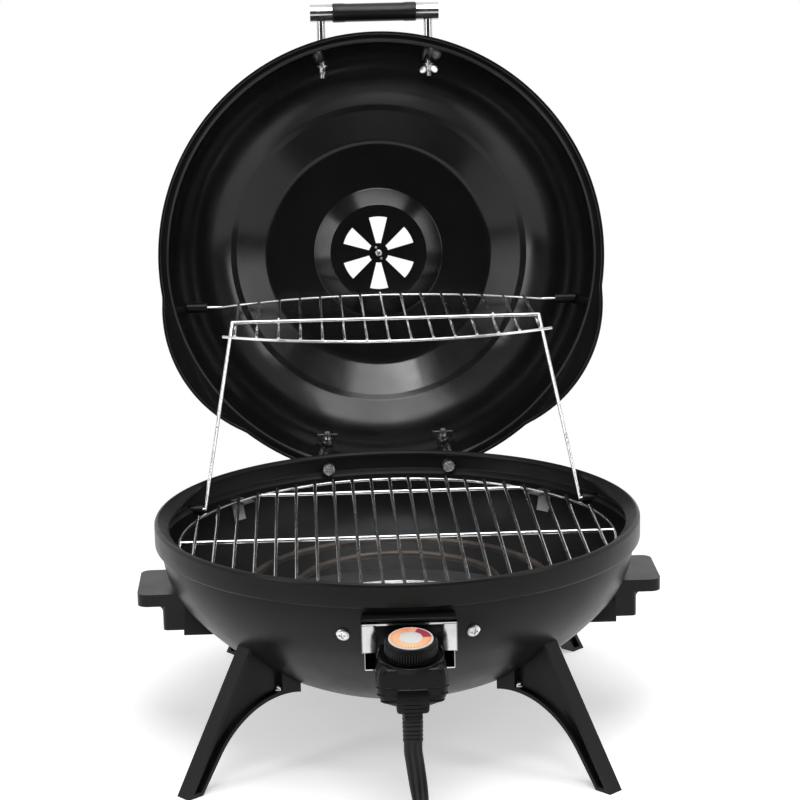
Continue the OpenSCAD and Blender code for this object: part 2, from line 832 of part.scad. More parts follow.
module hinge_bracket(side) {
    ear_in = strap_w / 2 + hinge_gap;
    color([0.1, 0.1, 0.1]) difference() {
        union() {
            translate([side * hinge_x - ear_in - ear_t, hinge_y - 30, bracket_low])
                cube([2 * (ear_in + ear_t), bracket_plane - hinge_y + 30, bracket_high - bracket_low]);
            for (x = [side * hinge_x - ear_in - ear_t, side * hinge_x + ear_in])
                translate([x, 0, 0]) rotate([90, 0, 90]) linear_extrude(ear_t) {
                    translate([hinge_y, hinge_z]) circle(knuckle_r + 1);
                    polygon([[hinge_y - 20, bracket_low - 6], [hinge_y - 20, bracket_high],
                        [bracket_plane, bracket_high], [hinge_y + stop_high, hinge_z],
                        [hinge_y + stop_high, hinge_z - stop_high / 2],
                        [hinge_y, hinge_z - knuckle_r - 1]]);
                }
            // The bar between the ears that the open lid's strap rests on
            lid_open() translate([side * hinge_x - ear_in - 0.5, strap_back + stop_gap, hinge_z + stop_low])
                cube([2 * ear_in + 1, strap_t, stop_high - stop_low]);
        }
        cylinder(h = rim_z, r = rim_r, $fn = 180);
        translate([side * hinge_x - 20, hinge_y, hinge_z]) rotate([0, 90, 0]) cylinder(h = 40, r = pin_r, $fn = 48);
        y_rod(side * hinge_x, hinge_y - 40, hinge_y + 10, hinge_bolt_z, bolt_r);
    }
}

module hinge_bolt(side) {
    color([0.8, 0.81, 0.82]) union() {
        y_rod(side * hinge_x, bracket_plane - 18, bracket_plane + 1, hinge_bolt_z, bolt_r);
        y_rod(side * hinge_x, bracket_plane, bracket_plane + head_h, hinge_bolt_z, head_r);
        intersection() {
            y_rod(side * hinge_x, bracket_plane - 14, bracket_plane, hinge_bolt_z, head_r);
            rotate_extrude($fn = 180) translate([0, bracket_low - 5]) square([rim_r - wall_t, 25]);
        }
    }
}

module hinge_pin(side) {
    reach = strap_w / 2 + hinge_gap + ear_t;
    color([0.7, 0.7, 0.7]) translate([side * hinge_x, hinge_y, hinge_z]) rotate([0, 90, 0]) {
        cylinder(h = 2 * reach, r = pin_r, center = true, $fn = 48);
        for (end = [-1, 1])
            translate([0, 0, end * (reach + 0.75)])
                cylinder(h = 1.5, r = pin_r + 1.5, center = true, $fn = 48);
    }
}

function pad_y(up) = sqrt((dome_r(up) + lid_t) ^ 2 - hinge_x ^ 2);
pad_rise = atan2(pad_y(pad_low) - pad_y(pad_high), pad_high - pad_low);

// Puts +Z on the outward normal of the strap's pad, in its outer face
module pad_place(side) {
    translate([side * hinge_x, (pad_y(pad_low) + pad_y(pad_high)) / 2 + strap_t + pad_spare, mouth_z + pad_mid])
        rotate([pad_rise - 90, 0, 0]) children();
}

module hinge_strap(side) {
    color([0.1, 0.1, 0.1]) lid_open() difference() {
        union() {
            translate([side * hinge_x - strap_w / 2, 0, 0]) rotate([90, 0, 90]) linear_extrude(strap_w)
                polygon([[strap_front, hinge_z], [strap_front, strap_knee],
                    [pad_y(pad_low) - 4, mouth_z + pad_low], [pad_y(pad_high) - 8, mouth_z + pad_high],
                    [pad_y(pad_high) + strap_t + pad_spare, mouth_z + pad_high],
                    [pad_y(pad_low) + strap_t + pad_spare, mouth_z + pad_low],
                    [strap_back, strap_knee], [strap_back, hinge_z]]);
            x_rod(side * hinge_x - strap_w / 2, side * hinge_x + strap_w / 2, hinge_y, hinge_z, knuckle_r);
        }
        dome_solid();
        x_rod(side * hinge_x - strap_w, side * hinge_x + strap_w, hinge_y, hinge_z, pin_r + hinge_fit);
        pad_place(side) cylinder(h = 30, r = bolt_r, center = true, $fn = 48);
    }
}

// A wing nut whose foot is at z = 0, its thread end at +Z
module wing_nut() {
    cylinder(h = 5, r1 = 4.6, r2 = 3.6, $fn = 48);
    for (side = [-1, 1])
        translate([side * (wing_half + 3) / 2, 0, 5]) cube([wing_half - 3, 1.6, 8], center = true);
}

module hinge_wing_nut(side) {
    color([0.83, 0.83, 0.84]) lid_open() union() {
        pad_place(side) cylinder(h = head_h, r = head_r, $fn = 48);
        pad_place(side) translate([0, 0, -16]) cylinder(h = 16.5, r = bolt_r, $fn = 48);
        intersection() {
            pad_place(side) translate([0, 0, -5]) rotate([180, 0, 0]) wing_nut();
            dome_space();
        }
        intersection() {
            pad_place(side) translate([0, 0, -6]) cylinder(h = 6, r = 4.6, $fn = 48);
            dome_space();
        }
    }
}

// ---- Lid ----------------------------------------------------------------

ear_r = 130;

module petals(turn) {
    for (i = [0 : 5])
        rotate([0, 0, turn - 90 + 60 * i]) intersection() {
            difference() {
                circle(petal_out);
                circle(petal_in);
            }
            polygon([[0, 0], [sweep * cos(petal_angle / 2), -sweep * sin(petal_angle / 2)],
                [sweep * cos(petal_angle / 2), sweep * sin(petal_angle / 2)]]);
        }
}

rivet_r = 3;
vent_gap = 0.3;
damper_r = petal_out + 6;
damper_z = mouth_z + vent_up + lid_t + vent_gap;
tab_w = damper_r / 4;
tab_h = damper_r / 5;

module lid_shell() {
    color([0.06, 0.06, 0.065]) lid_open() difference() {
        union() {
            translate([0, 0, mouth_z]) rotate_extrude($fn = 180) {
                polygon(concat(dome_inner, [[0, vent_up], [0, vent_up + lid_t]],
                    [for (i = [dome_last : -1 : 0]) dome_outer[i]]));
                translate([mouth_r, 0]) square([flange_r - mouth_r, skirt_t]);
                translate([skirt_r, -skirt_h]) square([skirt_t, skirt_h + skirt_t]);
            }
            translate([0, 0, mouth_z]) linear_extrude(skirt_t) difference() {
                for (side = [-1, 1])
                    rotate([0, 0, 90 + side * ear_angle]) translate([flange_r + ear_w - ear_r, 0])
                        circle(ear_r, $fn = 180);
                circle(mouth_r + 1, $fn = 180);
            }
        }
        translate([0, 0, mouth_z + vent_up - 1]) linear_extrude(lid_t + 2) {
            petals(0);
            circle(rivet_r);
        }
        for (side = [-1, 1]) {
            y_rod(side * post_span / 2, -rim_r, -rim_r / 2, mouth_z + post_up, bolt_r + bolt_gap);
            pad_place(side) cylinder(h = 40, r = bolt_r + bolt_gap, center = true, $fn = 48);
        }
    }
}

module lid_post(side) {
    x = side * post_span / 2;
    ferrule_in = min(side * grip_len / 2, side * (grip_len / 2 + ferrule_len));
    color([0.85, 0.85, 0.86]) lid_open() difference() {
        union() {
            y_rod(x, -grip_reach, -rim_r / 2, mouth_z + post_up, post_d / 2);
            x_rod(ferrule_in, ferrule_in + ferrule_len, -grip_reach, mouth_z + post_up, grip_d / 2 - 0.8);
        }
        dome_solid();
        y_rod(x, -rim_r, -rim_r / 2, mouth_z + post_up, bolt_r);
    }
}

module lid_grip() {
    color([0.07, 0.07, 0.07]) lid_open()
        x_rod(-grip_len / 2, grip_len / 2, -grip_reach, mouth_z + post_up, grip_d / 2);
}

post_nut_y = sqrt(dome_r(post_up) ^ 2 - (post_span / 2) ^ 2) - 1;

module post_wing_nut(side) {
    x = side * post_span / 2;
    color([0.83, 0.83, 0.84]) lid_open() union() {
        y_rod(x, -rim_r, -post_nut_y + 12, mouth_z + post_up, bolt_r);
        intersection() {
            union() {
                y_rod(x, -rim_r, -post_nut_y + 1, mouth_z + post_up, 4.6);
                translate([x, -post_nut_y, mouth_z + post_up]) rotate([-90, 0, 0]) wing_nut();
            }
            dome_space();
        }
    }
}

module vent_damper() {
    color([0.12, 0.12, 0.12]) lid_open() translate([0, 0, damper_z]) difference() {
        union() {
            cylinder(h = damper_t, r = damper_r);
            translate([-tab_w / 2, -damper_r + 2, 0]) cube([tab_w, damper_t, tab_h]);
        }
        translate([0, 0, -1]) linear_extrude(damper_t + 2) {
            petals(damper_set);
            circle(rivet_r + hinge_fit);
        }
    }
}

module vent_rivet() {
    color([0.8, 0.8, 0.8]) lid_open() union() {
        translate([0, 0, mouth_z + vent_up - 1.5]) cylinder(h = 1.5, r = rivet_r + 2.5, $fn = 48);
        translate([0, 0, mouth_z + vent_up - 0.5])
            cylinder(h = lid_t + damper_t + 2 * vent_gap + 1, r = rivet_r, $fn = 48);
        translate([0, 0, damper_z + damper_t + vent_gap]) cylinder(h = 1.5, r = rivet_r + 2.5, $fn = 48);
    }
}

// ---- Warming rack, its legs and its sockets -----------------------------

rack_tip = tip_x - 1;
lid_socket_face = rack_tip - 6;
lid_socket_r = 4.8;
back_half = rack_half + 6;
back_r = (back_half ^ 2 + back_bow ^ 2) / (2 * back_bow);
front_r = (rack_half ^ 2 + front_bow ^ 2) / (2 * front_bow);
bar_z = rack_wire * 1.5;
eyelet_wire = rack_wire - 0.2;
eyelet_gap = 0.3;

function back_wire_y(x) = back_bow - back_r + sqrt(back_r ^ 2 - x ^ 2);
function front_wire_y(x) = -rack_depth - front_bow + front_r - sqrt(front_r ^ 2 - x ^ 2);

module lid_socket(side) {
    color([0.09, 0.09, 0.09]) lid_open() intersection() {
        difference() {
            x_rod(min(side * lid_socket_face, side * rim_r), max(side * lid_socket_face, side * rim_r),
                pivot_back, mouth_z + pivot_up, lid_socket_r);
            x_rod(min(side * (lid_socket_face - 1), side * (rack_tip + 1)),
                max(side * (lid_socket_face - 1), side * (rack_tip + 1)),
                pivot_back, mouth_z + pivot_up, rack_wire + wire_gap);
        }
        dome_space();
    }
}

module warming_rack() {
    back_turn = asin(back_half / back_r);
    front_turn = asin(rack_half / front_r);
    color([0.82, 0.83, 0.85]) rack_frame() union() {
        translate([0, back_bow - back_r, 0]) wire_arc(back_r, rack_wire, 90 - back_turn, 2 * back_turn);
        for (side = [-1, 1]) {
            x_rod(min(side * back_half, side * rack_tip), max(side * back_half, side * rack_tip),
                0, 0, rack_wire);
            translate([side * back_half, 0, 0]) sphere(rack_wire + 0.1, $fn = 24);
        }
        translate([0, front_r - rack_depth - front_bow, 0])
            wire_arc(front_r, rack_wire, -90 - front_turn, 2 * front_turn);
        for (i = [-(rack_bars - 1) / 2 : (rack_bars - 1) / 2])
            let (x = i * rack_pitch)
                y_rod(x, front_wire_y(x) - rack_wire, back_wire_y(x) + rack_wire, bar_z, rack_wire);
        for (i = [-5, 0, 5])
            translate([i * rack_pitch, -bail_back, bail_lift]) rotate([0, 90, 0])
                wire_arc(leg_wire + eyelet_gap + eyelet_wire, eyelet_wire, 0, 360, 24);
    }
}

module rack_legs() {
    color([0.82, 0.83, 0.85]) union() {
        x_rod(-leg_top_x, leg_top_x, leg_top_y, leg_top_up, leg_wire);
        for (side = [-1, 1]) {
            rod([side * leg_top_x, leg_top_y, leg_top_up], [side * foot_x, foot_y, foot_z], leg_wire);
            translate([side * leg_top_x, leg_top_y, leg_top_up]) sphere(leg_wire + 0.1, $fn = 32);
            translate([side * foot_x, foot_y, foot_z]) sphere(leg_wire + 0.1, $fn = 32);
            x_rod(min(side * foot_x, side * tip_x), max(side * foot_x, side * tip_x), foot_y, foot_z, leg_wire);
        }
    }
}

// ---- Plug-in temperature control ----------------------------------------

module control_housing() {
    color([0.09, 0.09, 0.09]) difference() {
        union() {
            translate([-housing_half, 0, 0]) rotate([90, 0, 90]) linear_extrude(2 * housing_half)
                polygon([[-control_back, housing_z], [-control_back, top_back_z],
                    [-control_front, top_front_z], [-control_front + 2, housing_z]]);
            translate([-neck_half, -control_back - 1, neck_low])
                cube([2 * neck_half, control_back - neck_end + 1, neck_high - neck_low]);
            translate([-tongue_half, -cord_y - tongue_deep / 2, tongue_z])
                cube([2 * tongue_half, tongue_deep, housing_z - tongue_z + 1]);
            knob_frame() cylinder(h = spindle_len, r = spindle_r, $fn = 48);
        }
        for (x = [-terminal_x, terminal_x])
            y_rod(x, -terminal_end - 2, -neck_end + 1, heat_z, tube_r + neck_gap);
    }
}

module control_knob() {
    color([0.08, 0.08, 0.08]) knob_frame() difference() {
        union() {
            translate([0, 0, knob_gap]) cylinder(h = knob_h - 2.4 - knob_gap, r = knob_r);
            translate([0, 0, knob_h - 2.4]) cylinder(h = 2.4, r1 = knob_r, r2 = knob_r - 2.4);
        }
        for (i = [0 : flutes - 1])
            rotate([0, 0, 360 * i / flutes]) translate([knob_r + 0.9, 0, -1])
                cylinder(h = knob_h - 5, r = 2, $fn = 24);
        translate([0, 0, knob_h - dial_sink]) cylinder(h = 2, r = dial_r);
        translate([0, 0, -1]) cylinder(h = spindle_len + 1.4, r = spindle_r + spindle_fit, $fn = 48);
    }
}

module dial_plate() {
    color([0.85, 0.45, 0.25]) knob_frame() union() {
        translate([0, 0, knob_h - dial_sink]) cylinder(h = dial_t, r = dial_r);
        translate([0, 0, knob_h]) cylinder(h = 2, r = cap_r);
    }
}

module sensor_probe() {
    color([0.75, 0.76, 0.77]) union() {
        y_rod(0, -neck_end, probe_len - neck_end - probe_r, heat_z, probe_r);
        translate([0, probe_len - neck_end - probe_r, heat_z]) sphere(probe_r, $fn = 48);
    }
}

// ---- Power cord ---------------------------------------------------------

module strain_relief() {
    color([0.06, 0.06, 0.06]) translate([0, -cord_y, tongue_z - relief_len]) union() {
        linear_extrude(relief_len) relief_outline(0);
        for (i = [0 : 3])
            translate([0, 0, 2.5 + 5 * i]) linear_extrude(2.5) relief_outline(1.2);
    }
}

module relief_outline(more) {
    h = cord_t / 2 + 1 + more;
    square([cord_w - cord_t, 2 * h], center = true);
    for (side = [-1, 1])
        translate([side * (cord_w - cord_t) / 2, 0]) circle(h);
}

function unit(v) = v / norm(v);
function cord_heading(i) = unit(CORD[min(i + 1, cord_last)] - CORD[max(i - 1, 0)]);
function ease(t) = t < 0 ? 0 : t > 1 ? 1 : t * t * (3 - 2 * t);
function cord_twist(i) = 90 * ease((i - 2) / (cord_last - 7));

// Twelve points round the flat section: two half circles
function cord_ring(i) =
    let (heading = cord_heading(i), x = unit([1, 0, 0] - heading * heading[0]),
        y = cross(heading, x), a = cord_twist(i), wide = x * cos(a) + y * sin(a),
        thick = cross(heading, wide))
    [for (k = [0 : 11]) let (b = 15 + 30 * k, end = cos(b) > 0 ? 1 : -1)
        CORD[i] - [0, cord_y, 0] + wide * (end * (cord_w - cord_t) / 2 + cord_t / 2 * cos(b))
            + thick * cord_t / 2 * sin(b)];

module cord_tube() {
    rings = [for (i = [0 : cord_last]) cord_ring(i)];
    color([0.05, 0.05, 0.05]) polyhedron(
        points = [for (ring = rings) for (p = ring) p],
        faces = concat([[for (k = [0 : 11]) k]],
            [for (i = [0 : cord_last - 1]) for (k = [0 : 11]) for (half = [0, 1])
                let (a = 12 * i + k, b = 12 * i + (k + 1) % 12)
                    half == 0 ? [a, a + 12, b + 12] : [a, b + 12, b]],
            [[for (k = [11 : -1 : 0]) 12 * cord_last + k]]));
}

module cord_coil() {
    color([0.05, 0.05, 0.05]) translate([coil_x, coil_y, coil_z]) rotate_extrude()
        translate([coil_in, 0]) square([coil_out - coil_in, cord_w]);
}

plug_z = coil_z + cord_w;

// The plug lies across the coil's far right, along its turns
module plug_place() {
    translate([coil_x + coil_r, coil_y, plug_z]) children();
}

module plug() {
    color([0.05, 0.05, 0.05]) plug_place() union() {
        translate([-plug_w / 2, 0, 0]) cube([plug_w, plug_l, plug_t]);
        translate([-plug_w / 2 + 4, -18, plug_t / 2 - 4]) cube([plug_w - 8, 18, 8]);
    }
}

module plug_blades() {
    color([0.85, 0.75, 0.45]) plug_place() for (side = [-1, 1])
        translate([side * 6.35 - 0.75, plug_l, plug_t / 2 - 3.2]) cube([1.5, 17, 6.4]);
}

bowl();
rack_socket(-1);  // rack_socket_left
rack_socket(1);  // rack_socket_right
grate_clip(CLIPS[0]);  // grate_clip_front_left
grate_clip(CLIPS[1]);  // grate_clip_front_right
grate_clip(CLIPS[2]);  // grate_clip_rear_left
grate_clip(CLIPS[3]);  // grate_clip_rear_right
cooking_grate();
heating_element();
element_plate();
drip_pan();
front_bracket();
front_lip();
front_screw(-1);  // front_screw_left
front_screw(1);  // front_screw_right
handle_block(-1);  // handle_block_left
handle_block(1);  // handle_block_right
side_grip(-1);  // side_grip_left
side_grip(1);  // side_grip_right
handle_bolts(-1);  // handle_bolts_left
handle_bolts(1);  // handle_bolts_right
leg(LEGS[0]);  // leg_front_left
leg(LEGS[1]);  // leg_front_right
leg(LEGS[2]);  // leg_rear_left
leg(LEGS[3]);  // leg_rear_right
leg_screw(LEGS[0]);  // leg_screw_front_left
leg_screw(LEGS[1]);  // leg_screw_front_right
leg_screw(LEGS[2]);  // leg_screw_rear_left
leg_screw(LEGS[3]);  // leg_screw_rear_right
hinge_bracket(-1);  // hinge_bracket_left
hinge_bracket(1);  // hinge_bracket_right
hinge_bolt(-1);  // hinge_bolt_left
hinge_bolt(1);  // hinge_bolt_right
hinge_pin(-1);  // hinge_pin_left
hinge_pin(1);  // hinge_pin_right
lid_shell();
hinge_strap(-1);  // hinge_strap_left
hinge_strap(1);  // hinge_strap_right
hinge_wing_nut(-1);  // hinge_wing_nut_left
hinge_wing_nut(1);  // hinge_wing_nut_right
lid_post(-1);  // lid_post_left
lid_post(1);  // lid_post_right
lid_grip();
post_wing_nut(-1);  // post_wing_nut_left
post_wing_nut(1);  // post_wing_nut_right
vent_damper();
vent_rivet();
lid_socket(-1);  // lid_socket_left
lid_socket(1);  // lid_socket_right
warming_rack();
rack_legs();
control_housing();
control_knob();
dial_plate();
sensor_probe();
strain_relief();
cord_tube();
cord_coil();
plug();
plug_blades();
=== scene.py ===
"""Electric table grill with a hinged dome lid: looks, lamps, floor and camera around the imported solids.

Lengths inside the shape functions are millimetres and become metres when a mesh is filled.
"""

import json
import math

import bmesh
import bpy
import numpy as np
from mathutils import Matrix

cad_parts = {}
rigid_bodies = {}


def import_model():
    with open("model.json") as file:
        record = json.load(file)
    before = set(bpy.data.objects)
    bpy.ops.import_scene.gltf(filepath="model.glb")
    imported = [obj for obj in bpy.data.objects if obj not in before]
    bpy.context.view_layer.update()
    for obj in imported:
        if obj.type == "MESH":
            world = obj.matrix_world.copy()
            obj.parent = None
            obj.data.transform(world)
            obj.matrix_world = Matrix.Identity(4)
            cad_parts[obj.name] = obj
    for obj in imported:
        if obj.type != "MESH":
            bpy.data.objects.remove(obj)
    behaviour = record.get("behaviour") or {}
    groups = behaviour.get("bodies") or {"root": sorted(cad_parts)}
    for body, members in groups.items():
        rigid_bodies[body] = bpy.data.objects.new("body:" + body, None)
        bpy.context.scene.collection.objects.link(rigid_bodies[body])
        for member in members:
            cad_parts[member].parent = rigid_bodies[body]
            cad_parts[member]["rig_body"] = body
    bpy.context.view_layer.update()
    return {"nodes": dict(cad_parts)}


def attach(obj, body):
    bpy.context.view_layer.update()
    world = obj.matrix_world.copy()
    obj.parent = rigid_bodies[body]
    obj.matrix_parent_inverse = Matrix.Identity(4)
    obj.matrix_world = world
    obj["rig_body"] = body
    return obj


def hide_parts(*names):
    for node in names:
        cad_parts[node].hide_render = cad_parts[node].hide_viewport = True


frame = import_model()

MM = 0.001
TURN = 2 * np.pi

# ---- Sizes of the object, in millimetres --------------------------------

RIM_R, RIM_Z, WALL_TOP, WALL_R, WALL = 215.0, 196.0, 173.0, 209.0, 1.2
SIDE_R, BOWL_CLEAR = 76.5, 35.0
WALL_H = WALL_TOP - BOWL_CLEAR
BELLY_R = (WALL_R**2 + WALL_H**2 - 2 * WALL_R * SIDE_R) / (2 * (WALL_H - SIDE_R))
BELLY_Z = BOWL_CLEAR + BELLY_R
SIDE_X = WALL_R - SIDE_R
TANGENT_Z = BELLY_Z - BELLY_R * math.sin(math.atan2(BELLY_Z - WALL_TOP, SIDE_X))
SEAT_FALL, SEAT_R, STUB_R, SEAT_FULL, SEAT_GONE = 7.0, 202.5, 209.0, 75.0, 55.0
HINGE_Y, HINGE_Z, OPEN = 216.0, 166.0, math.radians(98)
MOUTH_Z, FLANGE_R, LID_T = 196.4, 217.2, 1.2
DOME_MID, DOME_WIDE, DOME_TALL, DOME_TOP, VENT_UP = 90.0, 118.7, 110.2, 112.2, 103.2
EAR_OUT, EAR_R, EAR_TURN = 11, 130.0, 60
PETAL_IN, PETAL_OUT = 10, 37
POST_X, POST_UP, GRIP_Y = 53.0, 47.0, -240.0
KNOB_Y, KNOB_Z, KNOB_TILT = -245.035, 146.026, math.radians(10)
KNOB_R, KNOB_H, DIAL_R = 21.4, 15.0, 18.0
LEGS = {"front_left": -138, "front_right": -48, "rear_left": 128, "rear_right": 45}
LEG_BOLT_R, LEG_BOLT_DEPTH = 138.0, 9.0


def bowl_radius(z):
    """Outer radius of the bowl at a height: belly sphere below, side torus above."""
    z = np.asarray(z, float)
    belly = np.sqrt(np.maximum(BELLY_R**2 - (BELLY_Z - z) ** 2, 0))
    side = SIDE_X + np.sqrt(np.maximum(SIDE_R**2 - (z - WALL_TOP) ** 2, 0))
    return np.where(z < TANGENT_Z, belly, side)


# ---- Camera -------------------------------------------------------------


def direction(azimuth, elevation):
    """Unit vector from the object towards a viewer at that azimuth and elevation, in degrees."""
    a, e = math.radians(azimuth), math.radians(elevation)
    return np.array([math.sin(a) * math.cos(e), -math.cos(a) * math.cos(e), math.sin(e)])


TARGET = np.array([0, 0, 180.0])
STAND_OFF, STAND_AZIMUTH, STAND_RISE = 2192, -2.049, 16.403
LOOK_AZIMUTH, LOOK_RISE, LOOK_ROLL = -2.173, 13.44, -1.134
SENSOR, FOCAL_TO_FRAME = 36, 2460 / 800


def make_camera():
    """A long lens in front, a little above the rim, its frame square. It stands off from the target in one
    direction and looks along another, a few degrees flatter."""
    place = TARGET + STAND_OFF * direction(STAND_AZIMUTH, STAND_RISE)
    back = direction(LOOK_AZIMUTH, LOOK_RISE)
    yaw, roll = math.radians(LOOK_AZIMUTH), math.radians(LOOK_ROLL)
    right = np.array([math.cos(yaw), math.sin(yaw), 0])
    up = np.cross(back, right)
    across = right * math.cos(roll) + up * math.sin(roll)
    upward = -right * math.sin(roll) + up * math.cos(roll)
    data = bpy.data.cameras.new("camera")
    data.sensor_width = SENSOR
    data.lens = SENSOR * FOCAL_TO_FRAME
    data.clip_start, data.clip_end = 0.1, 60
    camera = bpy.data.objects.new("camera", data)
    bpy.context.scene.collection.objects.link(camera)
    rows = [[across[k], upward[k], back[k], place[k] * MM] for k in range(3)]
    camera.matrix_world = Matrix(rows + [[0, 0, 0, 1]])
    bpy.context.scene.camera = camera


make_camera()

# ---- Mesh building ------------------------------------------------------


def grid(points, close_u=False, close_v=False, caps=False, keep=None):
    """Quads over a grid of points (rows, columns, 3). A closed direction runs on into its start,
    caps put one flat face on the first and last row, and keep leaves out the cells that are False."""
    points = np.asarray(points, float)
    rows, columns = points.shape[:2]
    i, j = np.meshgrid(
        np.arange(rows if close_u else rows - 1),
        np.arange(columns if close_v else columns - 1),
        indexing="ij",
    )
    i2, j2 = (i + 1) % rows, (j + 1) % columns
    quads = np.stack([i * columns + j, i2 * columns + j, i2 * columns + j2, i * columns + j2], -1)
    u = np.stack([i, i + 1, i + 1, i], -1) / max(1, rows - 1)
    v = np.stack([j, j, j + 1, j + 1], -1) / (columns if close_v else max(1, columns - 1))
    uv = np.stack([v, u], -1)
    if keep is not None:
        quads, uv = quads[keep], uv[keep]
    faces = quads.reshape(-1, 4).tolist()
    uv = uv.reshape(-1, 2)
    if caps:
        ends = [list(range(columns))[::-1], list(range((rows - 1) * columns, rows * columns))]
        faces += ends
        uv = np.vstack([uv, np.tile([[0.5, 0.0]], (2 * columns, 1))])
    return points.reshape(-1, 3), faces, uv


def moved(part, place):
    """A part with its points passed through a placing function."""
    points, faces, uv = part
    return place(points), faces, uv


def fill(name, parts):
    """One mesh object from several parts, its points turned into metres and its uv kept as a layer."""
    points, faces, uvs, start = [], [], [], 0
    for p, f, uv in parts:
        points.append(p)
        faces += [[k + start for k in face] for face in f]
        uvs.append(uv)
        start += len(p)
    mesh = bpy.data.meshes.new(name)
    mesh.from_pydata((np.vstack(points) * MM).tolist(), [], faces)
    layer = mesh.uv_layers.new(name="surface")
    layer.data.foreach_set("uv", np.vstack(uvs).astype(np.float32).ravel())
    obj = bpy.data.objects.new(name, mesh)
    bpy.context.scene.collection.objects.link(obj)
    return obj


def tidy(mesh, merge=1e-6, outward=True):
    """Merges doubles and, on closed skins, turns the faces outward."""
    work = bmesh.new()
    work.from_mesh(mesh)
    bmesh.ops.remove_doubles(work, verts=work.verts, dist=merge)
    if outward:
        bmesh.ops.recalc_face_normals(work, faces=work.faces)
    work.to_mesh(mesh)
    work.free()


def smooth(mesh, degrees=32):
    """Smooth shading, with the edges sharper than that angle left crisp."""
    mesh.polygons.foreach_set("use_smooth", np.ones(len(mesh.polygons), bool))
    mesh.set_sharp_from_angle(angle=math.radians(degrees))
    mesh.update()


def piece(name, parts, body, slot, replaces=(), degrees=32, outward=True, look=None):
    """A finished piece: its mesh, its body, the slot and finish it takes and the solids it stands for."""
    obj = fill(name, parts)
    tidy(obj.data, outward=outward)
    smooth(obj.data, degrees)
    obj.data.materials.append(finish[look or slot])
    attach(obj, body)
    if replaces:
        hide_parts(*replaces)
    return obj


def add_modifier(obj, kind, **settings):
    modifier = obj.modifiers.new(kind.lower(), kind)
    for key, value in settings.items():
        setattr(modifier, key, value)
    return modifier


def settled(obj):
    """The object with its modifiers worked into its mesh."""
    bpy.context.view_layer.update()
    made = bpy.data.meshes.new_from_object(
        obj.evaluated_get(bpy.context.evaluated_depsgraph_get())
    )
    obj.modifiers.clear()
    obj.data = made
    return obj


def softened(node, material, width=0.6, segments=2, name=None, degrees=40):
    """A merged copy of a solid with its hard edges rounded, standing for that solid."""
    source = frame["nodes"][node]
    mesh = source.data.copy()
    obj = bpy.data.objects.new(name or node + "_finished", mesh)
    bpy.context.scene.collection.objects.link(obj)
    work = bmesh.new()
    work.from_mesh(mesh)
    bmesh.ops.remove_doubles(work, verts=work.verts, dist=2e-6)
    bmesh.ops.dissolve_limit(
        work, angle_limit=math.radians(0.6), verts=work.verts, edges=work.edges
    )
    work.to_mesh(mesh)
    work.free()
    mesh.materials.clear()
    mesh.materials.append(material)
    add_modifier(
        obj,
        "BEVEL",
        width=width * MM,
        segments=segments,
        limit_method="ANGLE",
        angle_limit=math.radians(degrees),
        use_clamp_overlap=True,
    )
    smooth(mesh, degrees)
    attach(obj, source["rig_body"])
    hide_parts(node)
    return obj


def lathe(profile, steps=96, closed=False):
    """A profile of (radius, height) points turned round Z."""
    profile = np.asarray(profile, float)
    a = np.arange(steps) * TURN / steps
    points = np.stack(
        [
            profile[:, None, 0] * np.cos(a),
            profile[:, None, 0] * np.sin(a),
            np.repeat(profile[:, None, 1], steps, 1),
        ],
        -1,
    )
    return grid(points, close_u=closed, close_v=True)


def rounded(points, radius, steps=5):
    """A polyline whose inner corners are arcs of that radius, or of one radius each."""
    p = np.asarray(points, float)
    radii = np.broadcast_to(radius, len(p))
    made = [p[:1]]
    for k in range(1, len(p) - 1):
        a, b = p[k - 1] - p[k], p[k + 1] - p[k]
        la, lb = np.linalg.norm(a), np.linalg.norm(b)
        a, b = a / la, b / lb
        half = math.acos(max(-1, min(1, float(a @ b)))) / 2
        if radii[k] <= 0 or half > 1.55:
            made.append(p[k : k + 1])
            continue
        reach = min(radii[k] / math.tan(half), 0.49 * la, 0.49 * lb)
        r = reach * math.tan(half)
        centre = p[k] + (a + b) / np.linalg.norm(a + b) * r / math.sin(half)
        start, end = p[k] + a * reach - centre, p[k] + b * reach - centre
        t = np.linspace(0, 1, steps)[:, None]
        arc = start * (1 - t) + end * t
        made.append(centre + arc / np.linalg.norm(arc, axis=1)[:, None] * r)
    made.append(p[-1:])
    return np.vstack(made)


def unit(v):
    return v / np.linalg.norm(v, axis=-1, keepdims=True)


def through(points, steps=6):
    """A Catmull-Rom curve through the points: cubics whose slope at a point is half the step between its
    neighbours."""
    p = np.asarray(points, float)
    q = np.vstack([2 * p[0] - p[1], p, 2 * p[-1] - p[-2]])
    t = (np.arange(steps) / steps)[None, :, None]
    a, b, c, d = (q[k : k + len(p) - 1][:, None, :] for k in range(4))
    curve = 0.5 * (
        2 * b + (c - a) * t + (2 * a - 5 * b + 4 * c - d) * t**2 + (3 * b - a - 3 * c + d) * t**3
    )
    return np.vstack([curve.reshape(-1, p.shape[1]), p[-1:]])


def headings(path, closed=False):
    """Unit tangent at each point of a path, from its two neighbours."""
    path = np.asarray(path, float)
    if closed:
        return unit(np.roll(path, -1, 0) - np.roll(path, 1, 0))
    return unit(np.gradient(path, axis=0))


